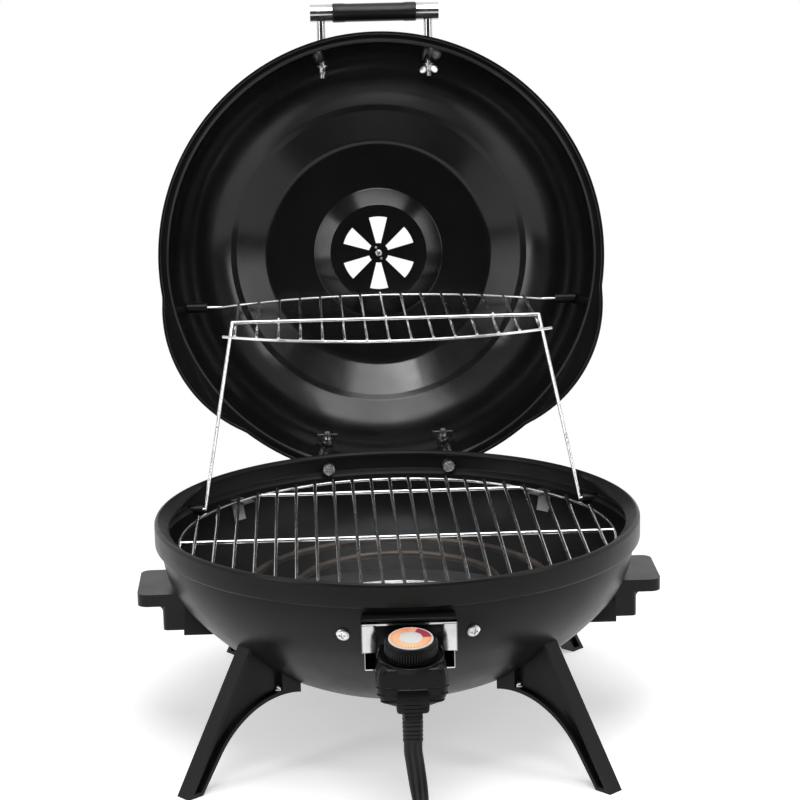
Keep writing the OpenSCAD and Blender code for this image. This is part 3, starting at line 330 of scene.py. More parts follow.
def carried(path, section, across, closed=False, caps=True):
    """A section (points, 2) carried along a path: its x runs along the across vector made square to the
    path, its y along the path's cross product with that. The section may differ at each point of the path."""
    path = np.asarray(path, float)
    t = headings(path, closed)
    across = np.broadcast_to(np.asarray(across, float), path.shape)
    x = unit(across - t * np.sum(t * across, -1, keepdims=True))
    y = np.cross(t, x)
    section = np.asarray(section, float)
    if section.ndim == 2:
        section = np.broadcast_to(section, (len(path), *section.shape))
    points = (
        path[:, None, :]
        + section[:, :, 0:1] * x[:, None, :]
        + section[:, :, 1:2] * y[:, None, :]
    )
    return grid(points, close_u=closed, close_v=True, caps=caps and not closed)


def circle(radius, sides=16):
    a = np.arange(sides) * TURN / sides
    return np.stack([radius * np.cos(a), radius * np.sin(a)], -1)


def wire(path, radius, across, sides=14, closed=False):
    """A round bar along a path, its ends rounded over by shrinking the last circles."""
    path = np.asarray(path, float)
    if closed:
        return carried(path, circle(radius, sides), across, closed=True)
    t0, t1 = unit(path[0] - path[1]), unit(path[-1] - path[-2])
    swell = np.array([0.9, 0.6, 0.25])
    reach = radius * np.array([0.43, 0.8, 0.96])
    path = np.vstack(
        [path[:1] + t0 * reach[::-1, None] * 0.5, path, path[-1:] + t1 * reach[:, None] * 0.5]
    )
    scale = np.concatenate([swell[::-1], np.ones(len(path) - 6), swell])
    section = circle(1, sides)[None] * (radius * scale)[:, None, None]
    return carried(path, section, across)


def stack(rings):
    """A closed skin through rings of points, one above the other, with a flat face at each end."""
    return grid(np.stack(rings), close_v=True, caps=True)


def level(outline, z, x=0.0, y=0.0):
    """An outline (points, 2) laid flat at a height, its middle at x, y."""
    return np.column_stack([outline[:, 0] + x, outline[:, 1] + y, np.full(len(outline), z)])


def spun(points, angle, axis="z", centre=(0, 0, 0)):
    """Points turned about an axis through a centre, in radians."""
    c, s = math.cos(angle), math.sin(angle)
    m = {
        "x": [[1, 0, 0], [0, c, -s], [0, s, c]],
        "y": [[c, 0, s], [0, 1, 0], [-s, 0, c]],
        "z": [[c, -s, 0], [s, c, 0], [0, 0, 1]],
    }[axis]
    return (np.asarray(points, float) - centre) @ np.array(m).T + centre


def lid_open(points):
    """From the closed lid's place to the open one: back about the hinge."""
    return spun(points, -OPEN, "x", (0, HINGE_Y, HINGE_Z))


def knob_place(points):
    return spun(points, KNOB_TILT, "x") + (0, KNOB_Y, KNOB_Z)


# ---- Materials ----------------------------------------------------------


class Finish:
    """A node material under construction: a Principled shader and a few helpers that add to it."""

    def __init__(self, name, **values):
        self.material = bpy.data.materials.new(name)
        self.material.use_nodes = True
        self.nodes, self.links = self.material.node_tree.nodes, self.material.node_tree.links
        self.shader = self.nodes["Principled BSDF"]
        for key, value in values.items():
            self.shader.inputs[key.replace("_", " ")].default_value = value
        self.place = self.nodes.new("ShaderNodeTexCoord").outputs["Object"]

    def node(self, kind, inputs=None, **settings):
        made = self.nodes.new("ShaderNode" + kind)
        for key, value in settings.items():
            setattr(made, key, value)
        for key, value in (inputs or {}).items():
            if isinstance(value, bpy.types.NodeSocket):
                self.links.new(value, made.inputs[key])
            else:
                made.inputs[key].default_value = value
        return made

    def noise(self, scale, detail=4.0, roughness=0.5, stretch=None):
        """Noise on the object's own place, finer along the axes that stretch raises."""
        source = self.place
        if stretch:
            source = self.node("Mapping", {"Vector": self.place, "Scale": stretch}).outputs[0]
        return self.node(
            "TexNoise", {"Vector": source, "Scale": scale, "Detail": detail, "Roughness": roughness}
        ).outputs["Fac"]

    def ramp(self, source, stops):
        """Colours or greys at positions along a value."""
        made = self.node("ValToRGB", {"Fac": source})
        elements = made.color_ramp.elements
        while len(elements) < len(stops):
            elements.new(0.5)
        for element, (at, value) in zip(elements, stops):
            element.position = at
            element.color = (
                (*value, 1) if isinstance(value, tuple) else (value, value, value, 1)
            )
        return made.outputs["Color"]

    def math(self, operation, a, b=0.0):
        return self.node("Math", {0: a, 1: b}, operation=operation).outputs[0]

    def bump(self, height, strength, distance=0.0005, under=None):
        inputs = {"Height": height, "Strength": strength, "Distance": distance}
        if under is not None:
            inputs["Normal"] = under
        made = self.node("Bump", inputs).outputs[0]
        self.links.new(made, self.shader.inputs["Normal"])
        return made

    def set(self, socket, source):
        self.links.new(source, self.shader.inputs[socket])


def worn_black(name, tone, low, high, grain, grain_strength, gloss):
    """Black finish: the tone drifts, the gloss varies in broad patches and a fine grain breaks highlights."""
    f = Finish(name, IOR=1.45, Specular_IOR_Level=gloss)
    hue = np.array([1, 1, 0.97]) * tone
    f.set("Base Color", f.ramp(f.noise(14, 3), [(0.3, tuple(hue * 0.8)), (0.7, tuple(hue * 1.25))]))
    f.set("Roughness", f.ramp(f.noise(32, 5, 0.6), [(0.3, low), (0.72, high)]))
    f.bump(f.noise(grain, 2, 0.6), grain_strength, 0.0002)
    return f.material


def metal(name, tones, sheen, grain, metallic=1.0):
    """Metal finish: tones and sheen are a noise (scale, detail, and so on) and the stops of its ramp, for the
    colour and the roughness; grain is the noise, strength and depth of the fine relief."""
    f = Finish(name, Metallic=metallic)
    f.set("Base Color", f.ramp(f.noise(*tones[0]), tones[1]))
    f.set("Roughness", f.ramp(f.noise(*sheen[0]), sheen[1]))
    f.bump(f.noise(*grain[0]), grain[1], grain[2])
    return f.material


def make_materials():
    made = {}
    for slot, name, tone, low, high, grain, strength, gloss in [
            ("lid_enamel", "lid_enamel_black", 0.0045, 0.13, 0.22, 260, 0.04, 0.5),
            ("bowl_paint", "bowl_paint_black", 0.0065, 0.28, 0.4, 700, 0.1, 0.22),
            ("black_phenolic", "moulded_phenolic_black", 0.0075, 0.26, 0.38, 1500, 0.12, 0.24),
            ("control_plastic", "control_plastic_black", 0.0035, 0.2, 0.32, 1900, 0.1, 0.2),
            ("cord_rubber", "cord_rubber_black", 0.008, 0.38, 0.52, 1400, 0.2, 0.35),
            ("grip", "grip_black", 0.007, 0.3, 0.4, 1600, 0.12, 0.4)]:
        made[slot] = worn_black(name, tone, low, high, grain, strength, gloss)

    made["bright_chrome"] = metal(
        "bright_chrome", ((40, 3), [(0.3, (0.5, 0.51, 0.52)), (0.7, (0.72, 0.72, 0.72))]),
        ((180, 4), [(0.3, 0.1), (0.75, 0.22)]), ((120, 2), 0.04, 0.0004))
    made["plated_wire"] = metal(
        "plated_wire", ((60, 3), [(0.3, (0.7, 0.71, 0.72)), (0.75, (0.86, 0.86, 0.86))]),
        ((60, 3), [(0.3, 0.16), (0.75, 0.26)]), ((300, 2), 0.02, 0.0002))
    made["zinc_fastener"] = metal(
        "zinc_fastener", ((220, 4), [(0.3, (0.55, 0.56, 0.57)), (0.7, (0.8, 0.8, 0.79))]),
        ((400, 4), [(0.3, 0.18), (0.7, 0.38)]), ((900, 3), 0.15, 0.0002))
    brown = [(0.3, (0.05, 0.043, 0.04)), (0.55, (0.11, 0.095, 0.085)), (0.75, (0.17, 0.14, 0.12))]
    made["heater_sheath"] = metal(
        "heater_sheath", ((16, 5, 0.6), brown), ((90, 4), [(0.3, 0.38), (0.7, 0.6)]),
        ((700, 3), 0.2, 0.0002), 0.75)
    made["steel_sheet"] = metal(
        "pressed_steel", ((30, 4), [(0.3, (0.36, 0.36, 0.36)), (0.7, (0.52, 0.52, 0.52))]),
        ((200, 4, 0.6, (1, 1, 9)), [(0.3, 0.28), (0.7, 0.5)]), ((600, 2), 0.1, 0.0002))
    made["blade_brass"] = metal(
        "blade_brass", ((300, 4), [(0.3, (0.68, 0.52, 0.25)), (0.7, (0.8, 0.66, 0.36))]),
        ((400, 3), [(0.3, 0.2), (0.7, 0.34)]), ((800, 2), 0.1, 0.0002))

    f = Finish("pan_aluminium", Metallic=1.0)
    rings = f.node("TexWave", {"Vector": f.place, "Scale": 260.0, "Distortion": 2.0, "Detail": 2.0},
                   wave_type="RINGS", rings_direction="Z").outputs["Fac"]
    f.set("Base Color", f.ramp(f.noise(25, 4), [(0.3, (0.5, 0.5, 0.51)), (0.7, (0.66, 0.66, 0.67))]))
    f.set("Roughness", f.ramp(rings, [(0.0, 0.3), (1.0, 0.42)]))
    f.bump(rings, 0.12, 0.0002)
    made["pan_aluminium"] = f.material

    # Printed ring: u runs round the dial, v from its middle (0) to its edge (1)
    f = Finish("dial_print", Roughness=0.34)
    uv = f.node("UVMap", uv_map="surface").outputs[0]
    split = f.node("SeparateXYZ", {"Vector": uv})
    around, outward = split.outputs[0], split.outputs[1]
    band = f.ramp(around, [(0.0, (0.78, 0.36, 0.2)), (0.12, (0.8, 0.33, 0.17)), (0.5, (0.86, 0.5, 0.26)),
                           (0.8, (0.86, 0.44, 0.24)), (0.97, (0.75, 0.3, 0.16))])
    hot = f.math("MULTIPLY", f.math("GREATER_THAN", around, 0.06), f.math("LESS_THAN", around, 0.235))
    band = f.node("Mix", {0: hot, 6: band, 7: (0.32, 0.03, 0.06, 1)}, data_type="RGBA").outputs[2]
    silver = (0.62, 0.62, 0.6, 1)
    outside = f.math("GREATER_THAN", outward, 0.935)
    inside = f.math("LESS_THAN", outward, 0.535)
    plain = f.math("MAXIMUM", outside, inside)
    colour = f.node("Mix", {0: plain, 6: band, 7: silver}, data_type="RGBA").outputs[2]
    ticks = f.math("FRACT", f.math("MULTIPLY", around, 40.0))
    ring = f.math("MULTIPLY", f.math("GREATER_THAN", outward, 0.8), f.math("LESS_THAN", outward, 0.91))
    mark = f.math("MULTIPLY", f.math("LESS_THAN", ticks, 0.16), ring)
    colour = f.node("Mix", {0: mark, 6: colour, 7: (0.1, 0.03, 0.02, 1)}, data_type="RGBA").outputs[2]
    speckle = f.ramp(f.noise(1800, 3), [(0.35, 0.88), (0.65, 1.0)])
    colour = f.node("Mix", {0: 1.0, 6: colour, 7: speckle}, data_type="RGBA", blend_type="MULTIPLY")
    f.set("Base Color", colour.outputs[2])
    f.bump(f.noise(1500, 2), 0.05, 0.0001)
    made["dial_print"] = f.material
    return made


finish = make_materials()

# ---- Power cord ---------------------------------------------------------

CORD_W, CORD_T, CORD_Y = 15.0, 5.0, -254
COIL_X, COIL_Y, COIL_R, COIL_Z, PITCH = 91.9, -350.0, 83.9, 7.8, 5.6
PLUG_X, PLUG_Y, PLUG_Z, PLUG_BEND = 169.9, -368, 23.8, 57
FREE_STEPS = 6
# The free stretch: down from the strain relief, a bend, then along the table to the coil
CORD = [
    [0, CORD_Y, 77], [0, CORD_Y, 68], [1, CORD_Y, 60], [2, -254.5, 52], [3, -255.5, 44],
    [4, -257.5, 36], [5, -260.5, 28], [6, -265, 20.5], [7, -271, 14.5], [8, -278.5, 10.3],
    [8, -287, 8.3], [8, -296, 7.8], [8, -306, 7.8], [8, -318, 7.8], [8, -330, 7.8],
    [8, -342, 7.8], [8, -350, 7.8],
]  # fmt: skip


def ease(t):
    t = np.clip(t, 0, 1)
    return t * t * (3 - 2 * t)


def coil_point(azimuth, radius, z):
    a = np.radians(azimuth)
    return np.stack([COIL_X + radius * np.cos(a), COIL_Y + radius * np.sin(a), z + 0 * a], -1)


def cord_route():
    """The free stretch through its points, a flat spiral that closes in by one pitch a turn, then a rise
    over the spiral to the plug. The section's turn goes from flat to on edge and back to flat."""
    free = through(CORD, FREE_STEPS)
    index = np.arange(len(free)) / FREE_STEPS
    turn = 90 * ease((index - 2) / (len(CORD) - 1 - 7))
    azimuth = np.arange(184, 956, 4.0)
    spiral = coil_point(azimuth, COIL_R - PITCH * (azimuth - 180) / 360, COIL_Z)
    end_az = np.array([960, 972, 984, 994, 1004, 1014, 1024.0])
    end_r = np.array([71.8, 70.6, 69.6, 69.6, 71, 74, 79.5])
    end_z = np.array([7.8, 8.8, 11.5, 14.8, 17.6, 19.3, 20.4])
    rise = coil_point(end_az, end_r, end_z)
    bend = np.radians([-45, -30, -15, 0])
    tail_x = PLUG_X - PLUG_BEND + PLUG_BEND * np.cos(bend)
    tail = np.stack([tail_x, PLUG_Y + PLUG_BEND * np.sin(bend), [21.4, 22.6, 23.5, PLUG_Z]], -1)
    last = through(np.vstack([rise, tail]), 5)
    over = 90 * ease(np.linspace(-0.15, 1.5, len(last)))
    path = np.vstack([free[:-1], spiral, last])
    turn = np.concatenate([turn[:-1], np.full(len(spiral), 90.0), 90 + over])
    return path, turn


def ribbed_section():
    """Three round cores side by side, joined by a thinner web: 40 degree to 140 degree arcs about each."""
    right, middle = np.radians(np.linspace(0, 138, 8)), np.radians(np.linspace(42, 138, 6))
    r, pitch = CORD_T / 2, (CORD_W - CORD_T) / 2
    top = np.vstack(
        [
            np.column_stack([pitch + r * np.cos(right), r * np.sin(right)]),
            np.column_stack([r * np.cos(middle), r * np.sin(middle)]),
            np.column_stack([-pitch - r * np.cos(right[::-1]), r * np.sin(right[::-1])]),
        ]
    )
    return np.vstack([top, (top * [1, -1])[::-1][1:-1]])


def make_cord():
    path, turn = cord_route()
    t = headings(path)
    a = np.radians(turn)[:, None]
    free = (len(CORD) - 1) * FREE_STEPS
    x = unit(np.array([1.0, 0, 0]) - t * t[:, :1])
    y = np.cross(t, x)
    early = x * np.cos(a) + y * np.sin(a)
    flat = unit(np.cross(t, [0, 0, 1.0]))
    up = np.cross(flat, t)
    late = up * np.sin(a) - flat * np.cos(a)
    across = np.where((np.arange(len(path)) < free)[:, None], early, late)
    cord = piece("power_cord", [carried(path, ribbed_section(), across)], "controller",
                 "cord_rubber", ["cord_tube", "cord_coil"], degrees=50)
    length = float(np.sum(np.linalg.norm(np.diff(path, axis=0), axis=1)) * MM)
    return cord, path, length


cord, cord_path, cord_length = make_cord()
print("cord length", round(cord_length, 3))


def rounded_box(half, corner, steps=5):
    """Outline of a rectangle with half sizes and rounded corners, counter-clockwise."""
    a = np.linspace(0, np.pi / 2, steps)
    arc = np.column_stack([np.cos(a), np.sin(a)]) * corner
    x, y = half[0] - corner, half[1] - corner
    left, right = arc @ [[0, 1], [-1, 0]] + (-x, y), arc @ [[0, -1], [1, 0]] + (x, -y)
    return np.vstack([arc + (x, y), left, -arc - (x, y), right])


def make_tie():
    """A twist tie round the coil's turns: a flat band in a rounded loop, its ends twisted together."""
    azimuth, coil_middle_r = 150.0, 78.0
    a = math.radians(azimuth)
    middle = coil_point(azimuth, coil_middle_r, COIL_Z + 0.1)
    out = np.array([math.cos(a), math.sin(a), 0])
    loop = rounded_box((10.2, 8.2), 3.5)
    loop[:, 1] = np.maximum(loop[:, 1], -7.4)
    ring = middle + loop[:, :1] * out + loop[:, 1:] * [0, 0, 1.0]
    along = np.array([-math.sin(a), math.cos(a), 0])
    band = carried(ring, np.array([[-2, -0.35], [2, -0.35], [2, 0.35], [-2, 0.35]]), along, closed=True)
    s = np.linspace(0, 1, 25)[:, None]
    base = middle + out * 10.2 + np.array([0, 0, 6.0])
    ends = []
    for sign in (0, np.pi):
        line = base + out * 12 * s + np.array([0, 0, 2.0]) * s
        swing = np.cross(out, [0, 0, 1.0]) * np.cos(s * 9 + sign)
        swing = swing + np.array([0, 0, 1.0]) * np.sin(s * 9 + sign)
        ends.append(wire(line + swing * 0.9, 0.7, [0, 0, 1.0], 10))
    return piece("cord_tie", [band, *ends], "controller", "cord_rubber")


cord_tie = make_tie()


def make_plug():
    """Moulded plug: rounded sections along Y, from the cord's neck over grip ribs to the face."""
    neck = [(-368, 6.5, 3.2), (-366, 8, 4), (-361, 8, 4), (-355, 8, 4), (-351, 8.6, 4.6), (-348, 10.2, 6.2),
            (-345, 11.3, 7.4), (-342, 11.9, 8.3)]
    ribs = [(y, *size) for y, size in zip(range(-339, -323, 3), [(11.2, 7.8), (11.9, 8.4)] * 3)]
    face = [(-319, 12, 8.5), (-315.5, 11.9, 8.4), (-314.3, 11.4, 8.0), (-314, 10.4, 7.2)]
    rings = []
    for y, wide, high in neck + ribs + face:
        o = rounded_box((wide, high), min(wide, high) * 0.55, 6)
        rings.append(level(o, y, PLUG_X, PLUG_Z)[:, [0, 2, 1]])
    return piece("plug_finished", [stack(rings)], "controller", "cord_rubber",
                 ["plug"], degrees=50)


plug = make_plug()


def make_strain_relief():
    """Tapered sleeve: seven rings round the flat cord, with grooves between, that widen a little upward."""
    low, high = 77, 100.5
    rings = []
    for z in np.linspace(low, high, 48):
        taper = (z - low) / (high - low)
        step = 1.0 if (taper * 6.5) % 1 < 0.62 else 0.0
        h = 3.1 + 1.1 * taper + 0.7 * step
        o = rounded_box((CORD_W / 2 + 0.15 + 0.3 * taper + 0.5 * step, h), h * 0.98, 7)
        rings.append(level(o, z, 0, CORD_Y))
    piece("strain_relief_finished", [stack(rings)], "controller", "cord_rubber", ["strain_relief"],
          degrees=40)


make_strain_relief()

# ---- Bowl ---------------------------------------------------------------


def direction_2d(degrees):
    return np.array([math.cos(math.radians(degrees)), math.sin(math.radians(degrees))])


def bowl_profile(seat):
    """Closed section of the bowl's wall for one inner radius of the seat: outer skin from the bottom up,
    over the rim and round the seat's edge, then the inner skin down."""
    z = BOWL_CLEAR + (WALL_TOP - 0.2 - BOWL_CLEAR) * np.linspace(0, 1, 60) ** 1.7
    z[0] += 1e-6
    outer = np.column_stack([bowl_radius(z), z])
    slope = unit(np.gradient(outer, axis=0))
    inner = outer + np.column_stack([-slope[:, 1], slope[:, 0]]) * WALL
    inner[:, 0] = np.maximum(inner[:, 0], 0)
    edge = RIM_Z - SEAT_FALL * (RIM_R - 3 - seat) / (RIM_R - 3 - SEAT_R)
    band_in = RIM_R - 1.4
    rim = [(WALL_R, WALL_TOP), (RIM_R, WALL_TOP + 2), (RIM_R, 184), (RIM_R, RIM_Z - 3), (RIM_R - 1, RIM_Z - 1),
           (RIM_R - 3, RIM_Z), (seat, edge), (seat - 0.4, edge - 1.3), (seat, edge - 2.4),
           (RIM_R - 3, RIM_Z - 2.4), (band_in, RIM_Z - 5.4), (band_in, WALL_TOP + 4.6),
           (WALL_R - WALL, WALL_TOP + 0.8)]
    radii = [1.6, 1.6, 0, 1.6, 1.6, 1.6, 0.8, 0.5, 0.8, 1.2, 1.2, 1.6, 1.6]
    rim = rounded(np.vstack([outer[-1], rim, inner[-1]]), [0] + radii + [0], 4)[1:-1]
    return np.vstack([outer, rim, inner[::-1]])


def seat_radius(azimuth):
    """Inner radius of the seat: whole in front, and narrowed by an offset circle towards the hinge."""
    full = SEAT_R * direction_2d(90 - SEAT_FULL)
    gone = STUB_R * direction_2d(90 - SEAT_GONE)
    y = (gone @ gone - full @ full) / (2 * (gone[1] - full[1]))
    reach = math.hypot(full[0], full[1] - y)
    s = np.sin(azimuth)
    circle_r = y * s + np.sqrt(reach**2 - (y * np.cos(azimuth)) ** 2)
    return np.clip(circle_r, SEAT_R, STUB_R)


def make_bowl():
    """The profile turned round the axis, its seat narrowing towards the hinge. Two soft creases are pressed
    into the band's front, a bell curve across each, fading out to the sides. Three holes let the terminals
    and the probe through the front wall."""
    azimuth = np.radians(np.linspace(-180, 180, 289)[:-1])
    profile = np.stack([bowl_profile(seat) for seat in seat_radius(azimuth)])
    azimuth = azimuth[:, None]
    r, z = profile[:, :, 0], profile[:, :, 1]
    front = np.cos(azimuth + np.pi / 2)
    fade = ease((front - 0.55) / 0.3)
    band = (r > 208) & (z > 150) & (z < 192)
    press = sum(deep * np.exp(-(((z - at) / 1.3) ** 2)) for deep, at in ((0.55, 180.5), (0.45, 185.5)))
    r = r - np.where(band, press * fade, 0)
    points = np.stack([r * np.cos(azimuth), r * np.sin(azimuth), z], -1)
    bowl = piece("bowl_finished", [grid(points, close_u=True)], "base", "bowl_paint", ["bowl"], degrees=38)
    rods = [(-15.0, 3.65), (0.0, 2.95), (15.0, 3.65)]
    parts = [wire([[x, -230, 128], [x, -195, 128]], r, [1.0, 0, 0], 32) for x, r in rods]
    cutter = fill("terminal_hole_cutter", parts)
    tidy(cutter.data)
    add_modifier(bowl, "BOOLEAN", object=cutter, operation="DIFFERENCE", solver="EXACT")
    settled(bowl)
    bpy.data.objects.remove(cutter)
    smooth(bowl.data, 38)


make_bowl()

# ---- Lid ----------------------------------------------------------------


def flange_reach(azimuth):
    """Outer radius of the flange at an azimuth in degrees: a circle, widened by two large ear circles."""
    c = FLANGE_R + EAR_OUT - EAR_R
    reach = np.full(azimuth.shape, FLANGE_R)
    for middle in (90 - EAR_TURN, 90 + EAR_TURN):
        d = np.radians((azimuth - middle + 180) % 360 - 180)
        inside = np.maximum(EAR_R**2 - (c * np.sin(d)) ** 2, 0)
        ear = c * np.cos(d) + np.sqrt(inside)
        k = np.clip(0.5 + (ear - reach) / 3, 0, 1)
        reach = reach * (1 - k) + ear * k + 0.75 * k * (1 - k)
    return reach


def dome_profile():
    """Outer skin's (radius, height above the mouth) from the wall's foot to the vent plate's edge."""
    a = np.linspace(0.03, math.asin(0.8596), 40)
    wall = np.column_stack([DOME_MID + DOME_WIDE * np.cos(a), DOME_TALL * np.sin(a)])
    shoulder = (wall[-1][0] - 6, wall[-1][1] + 2.4)
    top = [shoulder, (113, DOME_TOP), (66, DOME_TOP), (49, VENT_UP), (44, VENT_UP)]
    return rounded(np.vstack([wall, top]), [0] * 39 + [8, 8, 16, 4, 3, 0], 7)


def make_lid():
    """Sheet over azimuth and profile: rolled skirt, flange, dome and vent plate, then thickened inwards.
    The petal openings are cells left out of the plate, whose rows and columns follow their edges."""
    azimuth = np.arange(0, 360, 1.5)
    a = np.radians(azimuth)
    reach = flange_reach(azimuth)
    skirt = rounded([(0, -4.9), (0, 1.4), (-4, 1.4)], [0, 1.6, 0], 6)
    skirt = np.vstack([skirt[:1], [[0.0, -3.4], [-0.25, -2.6], [-0.25, -1.8], [0.0, -1.0]], skirt[1:]])
    foot = np.array([(210.8, 1.4), (209.9, 1.9), (209.2, 2.9)])
    dome = dome_profile()
    dome = dome[dome[:, 1] > 3.2]
    plate = np.array([(r, VENT_UP) for r in (42, 39.5, PETAL_OUT, 31, 26, 20, 15, PETAL_IN, 7, 3.2)])
    fixed = np.vstack([foot, dome, plate])
    ray = np.column_stack([np.cos(a), np.sin(a)])
    rows = [level(ray * (reach + off)[:, None], z) for off, z in skirt]
    rows += [level(ray * r, z) for r, z in fixed]
    points = np.stack(rows) + (0, 0, MOUTH_Z)
    row_r = np.concatenate([np.full(len(skirt), 220), fixed[:, 0]])
    middle = (azimuth + 0.75 + 90 + 30) % 60 - 30
    in_petal = np.abs(middle) < 15
    row_mid = (row_r[:-1] + row_r[1:]) / 2
    open_rows = (row_mid < PETAL_OUT) & (row_mid > PETAL_IN)
    keep = ~(open_rows[:, None] & in_petal[None, :])
    part = moved(grid(points, close_v=True, keep=keep), lid_open)
    lid = piece("lid_finished", [part], "lid", "lid_enamel", ["lid_shell"],
                degrees=40, outward=False)
    add_modifier(lid, "SOLIDIFY", thickness=LID_T * MM, offset=-1.0, use_even_offset=False)
    settled(lid)
    smooth(lid.data, 40)


make_lid()


def make_grip():
    """Turned along X: full at both ends, a shade slimmer between soft shoulders."""
    half = [(4.3, 41.5), (8.2, 41.5), (9.0, 41.2), (9.4, 40.2), (9.4, 31), (9.25, 29.5), (9.0, 28)]
    profile = [(r, -x) for r, x in half] + half[::-1]
    points, faces, uv = lathe(profile, 64, closed=True)
    turned = points[:, [2, 0, 1]] + (0, GRIP_Y, MOUTH_Z + POST_UP)
    return piece("lid_grip_finished", [(lid_open(turned), faces, uv)], "lid", "black_phenolic",
                 ["lid_grip"], degrees=50, look="grip")


make_grip()


def wing_nut():
    """Foot at z 0, thread towards +Z: a waisted hub turned round Z and two flared wings, each a rounded
    slab carried outward and up from the hub."""
    hub = [(0.0, 0), (4.5, 0), (4.5, 1.4), (3.5, 2.6), (3.2, 5.6), (2.5, 6.2), (2.4, 6.2), (0.0, 6.2)]
    hub = lathe(rounded(hub, [0, 0.5, 0.6, 1.5, 0.8, 0, 0, 0]), 32)
    wings = []
    for side in (-1, 1):
        s = np.linspace(0, 1, 12)
        path = np.column_stack([side * (2.2 + 7.2 * s), 0 * s, 3.4 + 3.6 * s**1.4])
        tall = 2.3 + 1.2 * np.sin(np.pi * 0.9 * s) - 3.8 * np.clip(s - 0.75, 0, 1)
        thick = 1.0 - 0.35 * s
        o = circle(1, 16)
        o = np.sign(o) * np.abs(o) ** 0.75
        section = o[None] * np.stack([thick, tall], -1)[:, None, :]
        wings.append(carried(path, section, [0, 1.0, 0]))
    return [hub, *wings]


def pan_head(radius, height, recess, cut, rings, sides):
    """Pan head on a polar grid: height falls off as the fourth power of the radius, less a recess that is
    full where cut(x, y) is over 0.35 and eases out to nothing where it is 0."""
    radii = np.concatenate([np.linspace(0.02, 0.97, rings), [1.0, 1.0]]) * radius
    r, t = np.meshgrid(radii, np.arange(sides) * TURN / sides, indexing="ij")
    x, y = r * np.cos(t), r * np.sin(t)
    z = height * (1 - 0.45 * (r / radius) ** 4) - recess * ease(cut(x, y) / 0.35)
    z[-1] = 0.0
    return grid(np.stack([x, y, z], -1), close_v=True, caps=True)


def screw_head():
    """Pan head with a cross recess."""

    def cross(x, y):
        x, y = np.abs(x), np.abs(y)
        return 1.25 - np.minimum(np.maximum(x / 0.75, y / 2.5), np.maximum(y / 0.75, x / 2.5))

    return pan_head(5.5, 3.0, 1.3, cross, 26, 64)


def on_bowl(azimuth, z):
    """Placing function: local +Z onto the bowl's outward normal at an azimuth in degrees and a height."""
    r = float(bowl_radius(z))
    rise = (BELLY_Z - z) / BELLY_R if z < TANGENT_Z else min(1, (WALL_TOP - z) / SIDE_R)
    dip = math.asin(rise)

    def place(points):
        p = spun(points, math.pi / 2 + dip, "y") + (r, 0, z)
        return spun(p, math.radians(azimuth), "z")

    return place


def in_lid(x, y, up, rise):
    """Placing function in the closed lid, then opened: local +Z turned by rise about X from upward, at x, y
    and a height above the mouth."""

    def place(points):
        return lid_open(spun(points, rise, "x") + (x, y, MOUTH_Z + up))

    return place


def shank(radius, z0, z1):
    return lathe([(0.01, z0), (radius, z0), (radius, z1), (0.01, z1)], 24)


def dome_r(up):
    """Inner radius of the dome at a height above the mouth."""
    return DOME_MID + (DOME_WIDE - LID_T) * math.sqrt(1 - (up / (DOME_TALL - LID_T)) ** 2)


def nut(reach, depth):
    """Six-sided nut behind the wall: its reach across corners and how deep it goes."""
    return lathe(rounded([(2.0, -1.3), (reach, -1.3), (reach, -depth), (2.0, -depth)], 0.3), 6)


def fastener(name, place, parts, body="base"):
    """Zinc piece standing for the solid of that name, its parts put in place."""
    return piece(f"{name}_finished", [moved(part, place) for part in parts], body, "zinc_fastener", [name])


def make_fasteners():
    """Front screws, the posts' wing nuts and leg screws, each with its shank and a nut or washer."""
    for side, end, turn in ((-1, "left", 1.35), (1, "right", 0.5)):
        parts = [screw_head(), shank(2.4, -7.8, 0.4), nut(4.4, 4.6)]
        fastener(f"front_screw_{end}", on_bowl(-90 + side * 15, 149.6), parts)
        y = -(math.sqrt(dome_r(POST_UP) ** 2 - POST_X**2) - 1)
        nuts = [(spun(p, turn, "z"), f, uv) for p, f, uv in [*wing_nut(), shank(2.3, -9, 11.5)]]
        washer = lathe(rounded([(2.4, -0.9), (6.0, -0.9), (6.0, 0.1), (2.4, 0.1)], 0.2), 32, closed=True)
        place = in_lid(side * POST_X, y, POST_UP, -math.pi / 2)
        fastener(f"post_wing_nut_{end}", place, [*nuts, washer], "lid")
    for end, azimuth in LEGS.items():
        place = on_bowl(azimuth, BELLY_Z - math.sqrt(BELLY_R**2 - LEG_BOLT_R**2))
        head = moved(screw_head(), lambda p: p + (0, 0, LEG_BOLT_DEPTH))
        fastener(f"leg_screw_{end}", place, [head, shank(2.4, -7, LEG_BOLT_DEPTH + 0.4), nut(5.2, 4.4)])


make_fasteners()


def make_rivet():
    """Vent rivet: a slotted pan head on the inside with the bent tips of its lock washer, a plain head
    outside."""
    head = pan_head(3.6, 2.3, 0.9, lambda x, y: 1.3 - np.abs(x * 0.77 - y * 0.64) / 0.45, 20, 48)
    outer = lathe(rounded([(0.01, -3.1), (5.4, -3.1), (5.4, -4.6), (0.01, -4.6)], 0.4), 32)
    parts = [head, shank(2.9, -4.0, 0.2), outer]
    for angle in (math.radians(115), math.radians(295)):
        p, faces, uv = lathe(rounded([(0.01, 1.3), (1.2, 1.3), (1.4, 0.0), (0.01, 0.0)], 0.5), 16)
        parts.append((p + (6.2 * math.cos(angle), 6.2 * math.sin(angle), 0), faces, uv))
    fastener("vent_rivet", in_lid(0, 0, VENT_UP - LID_T, math.pi), parts, "lid")


make_rivet()

# ---- Temperature control ------------------------------------------------


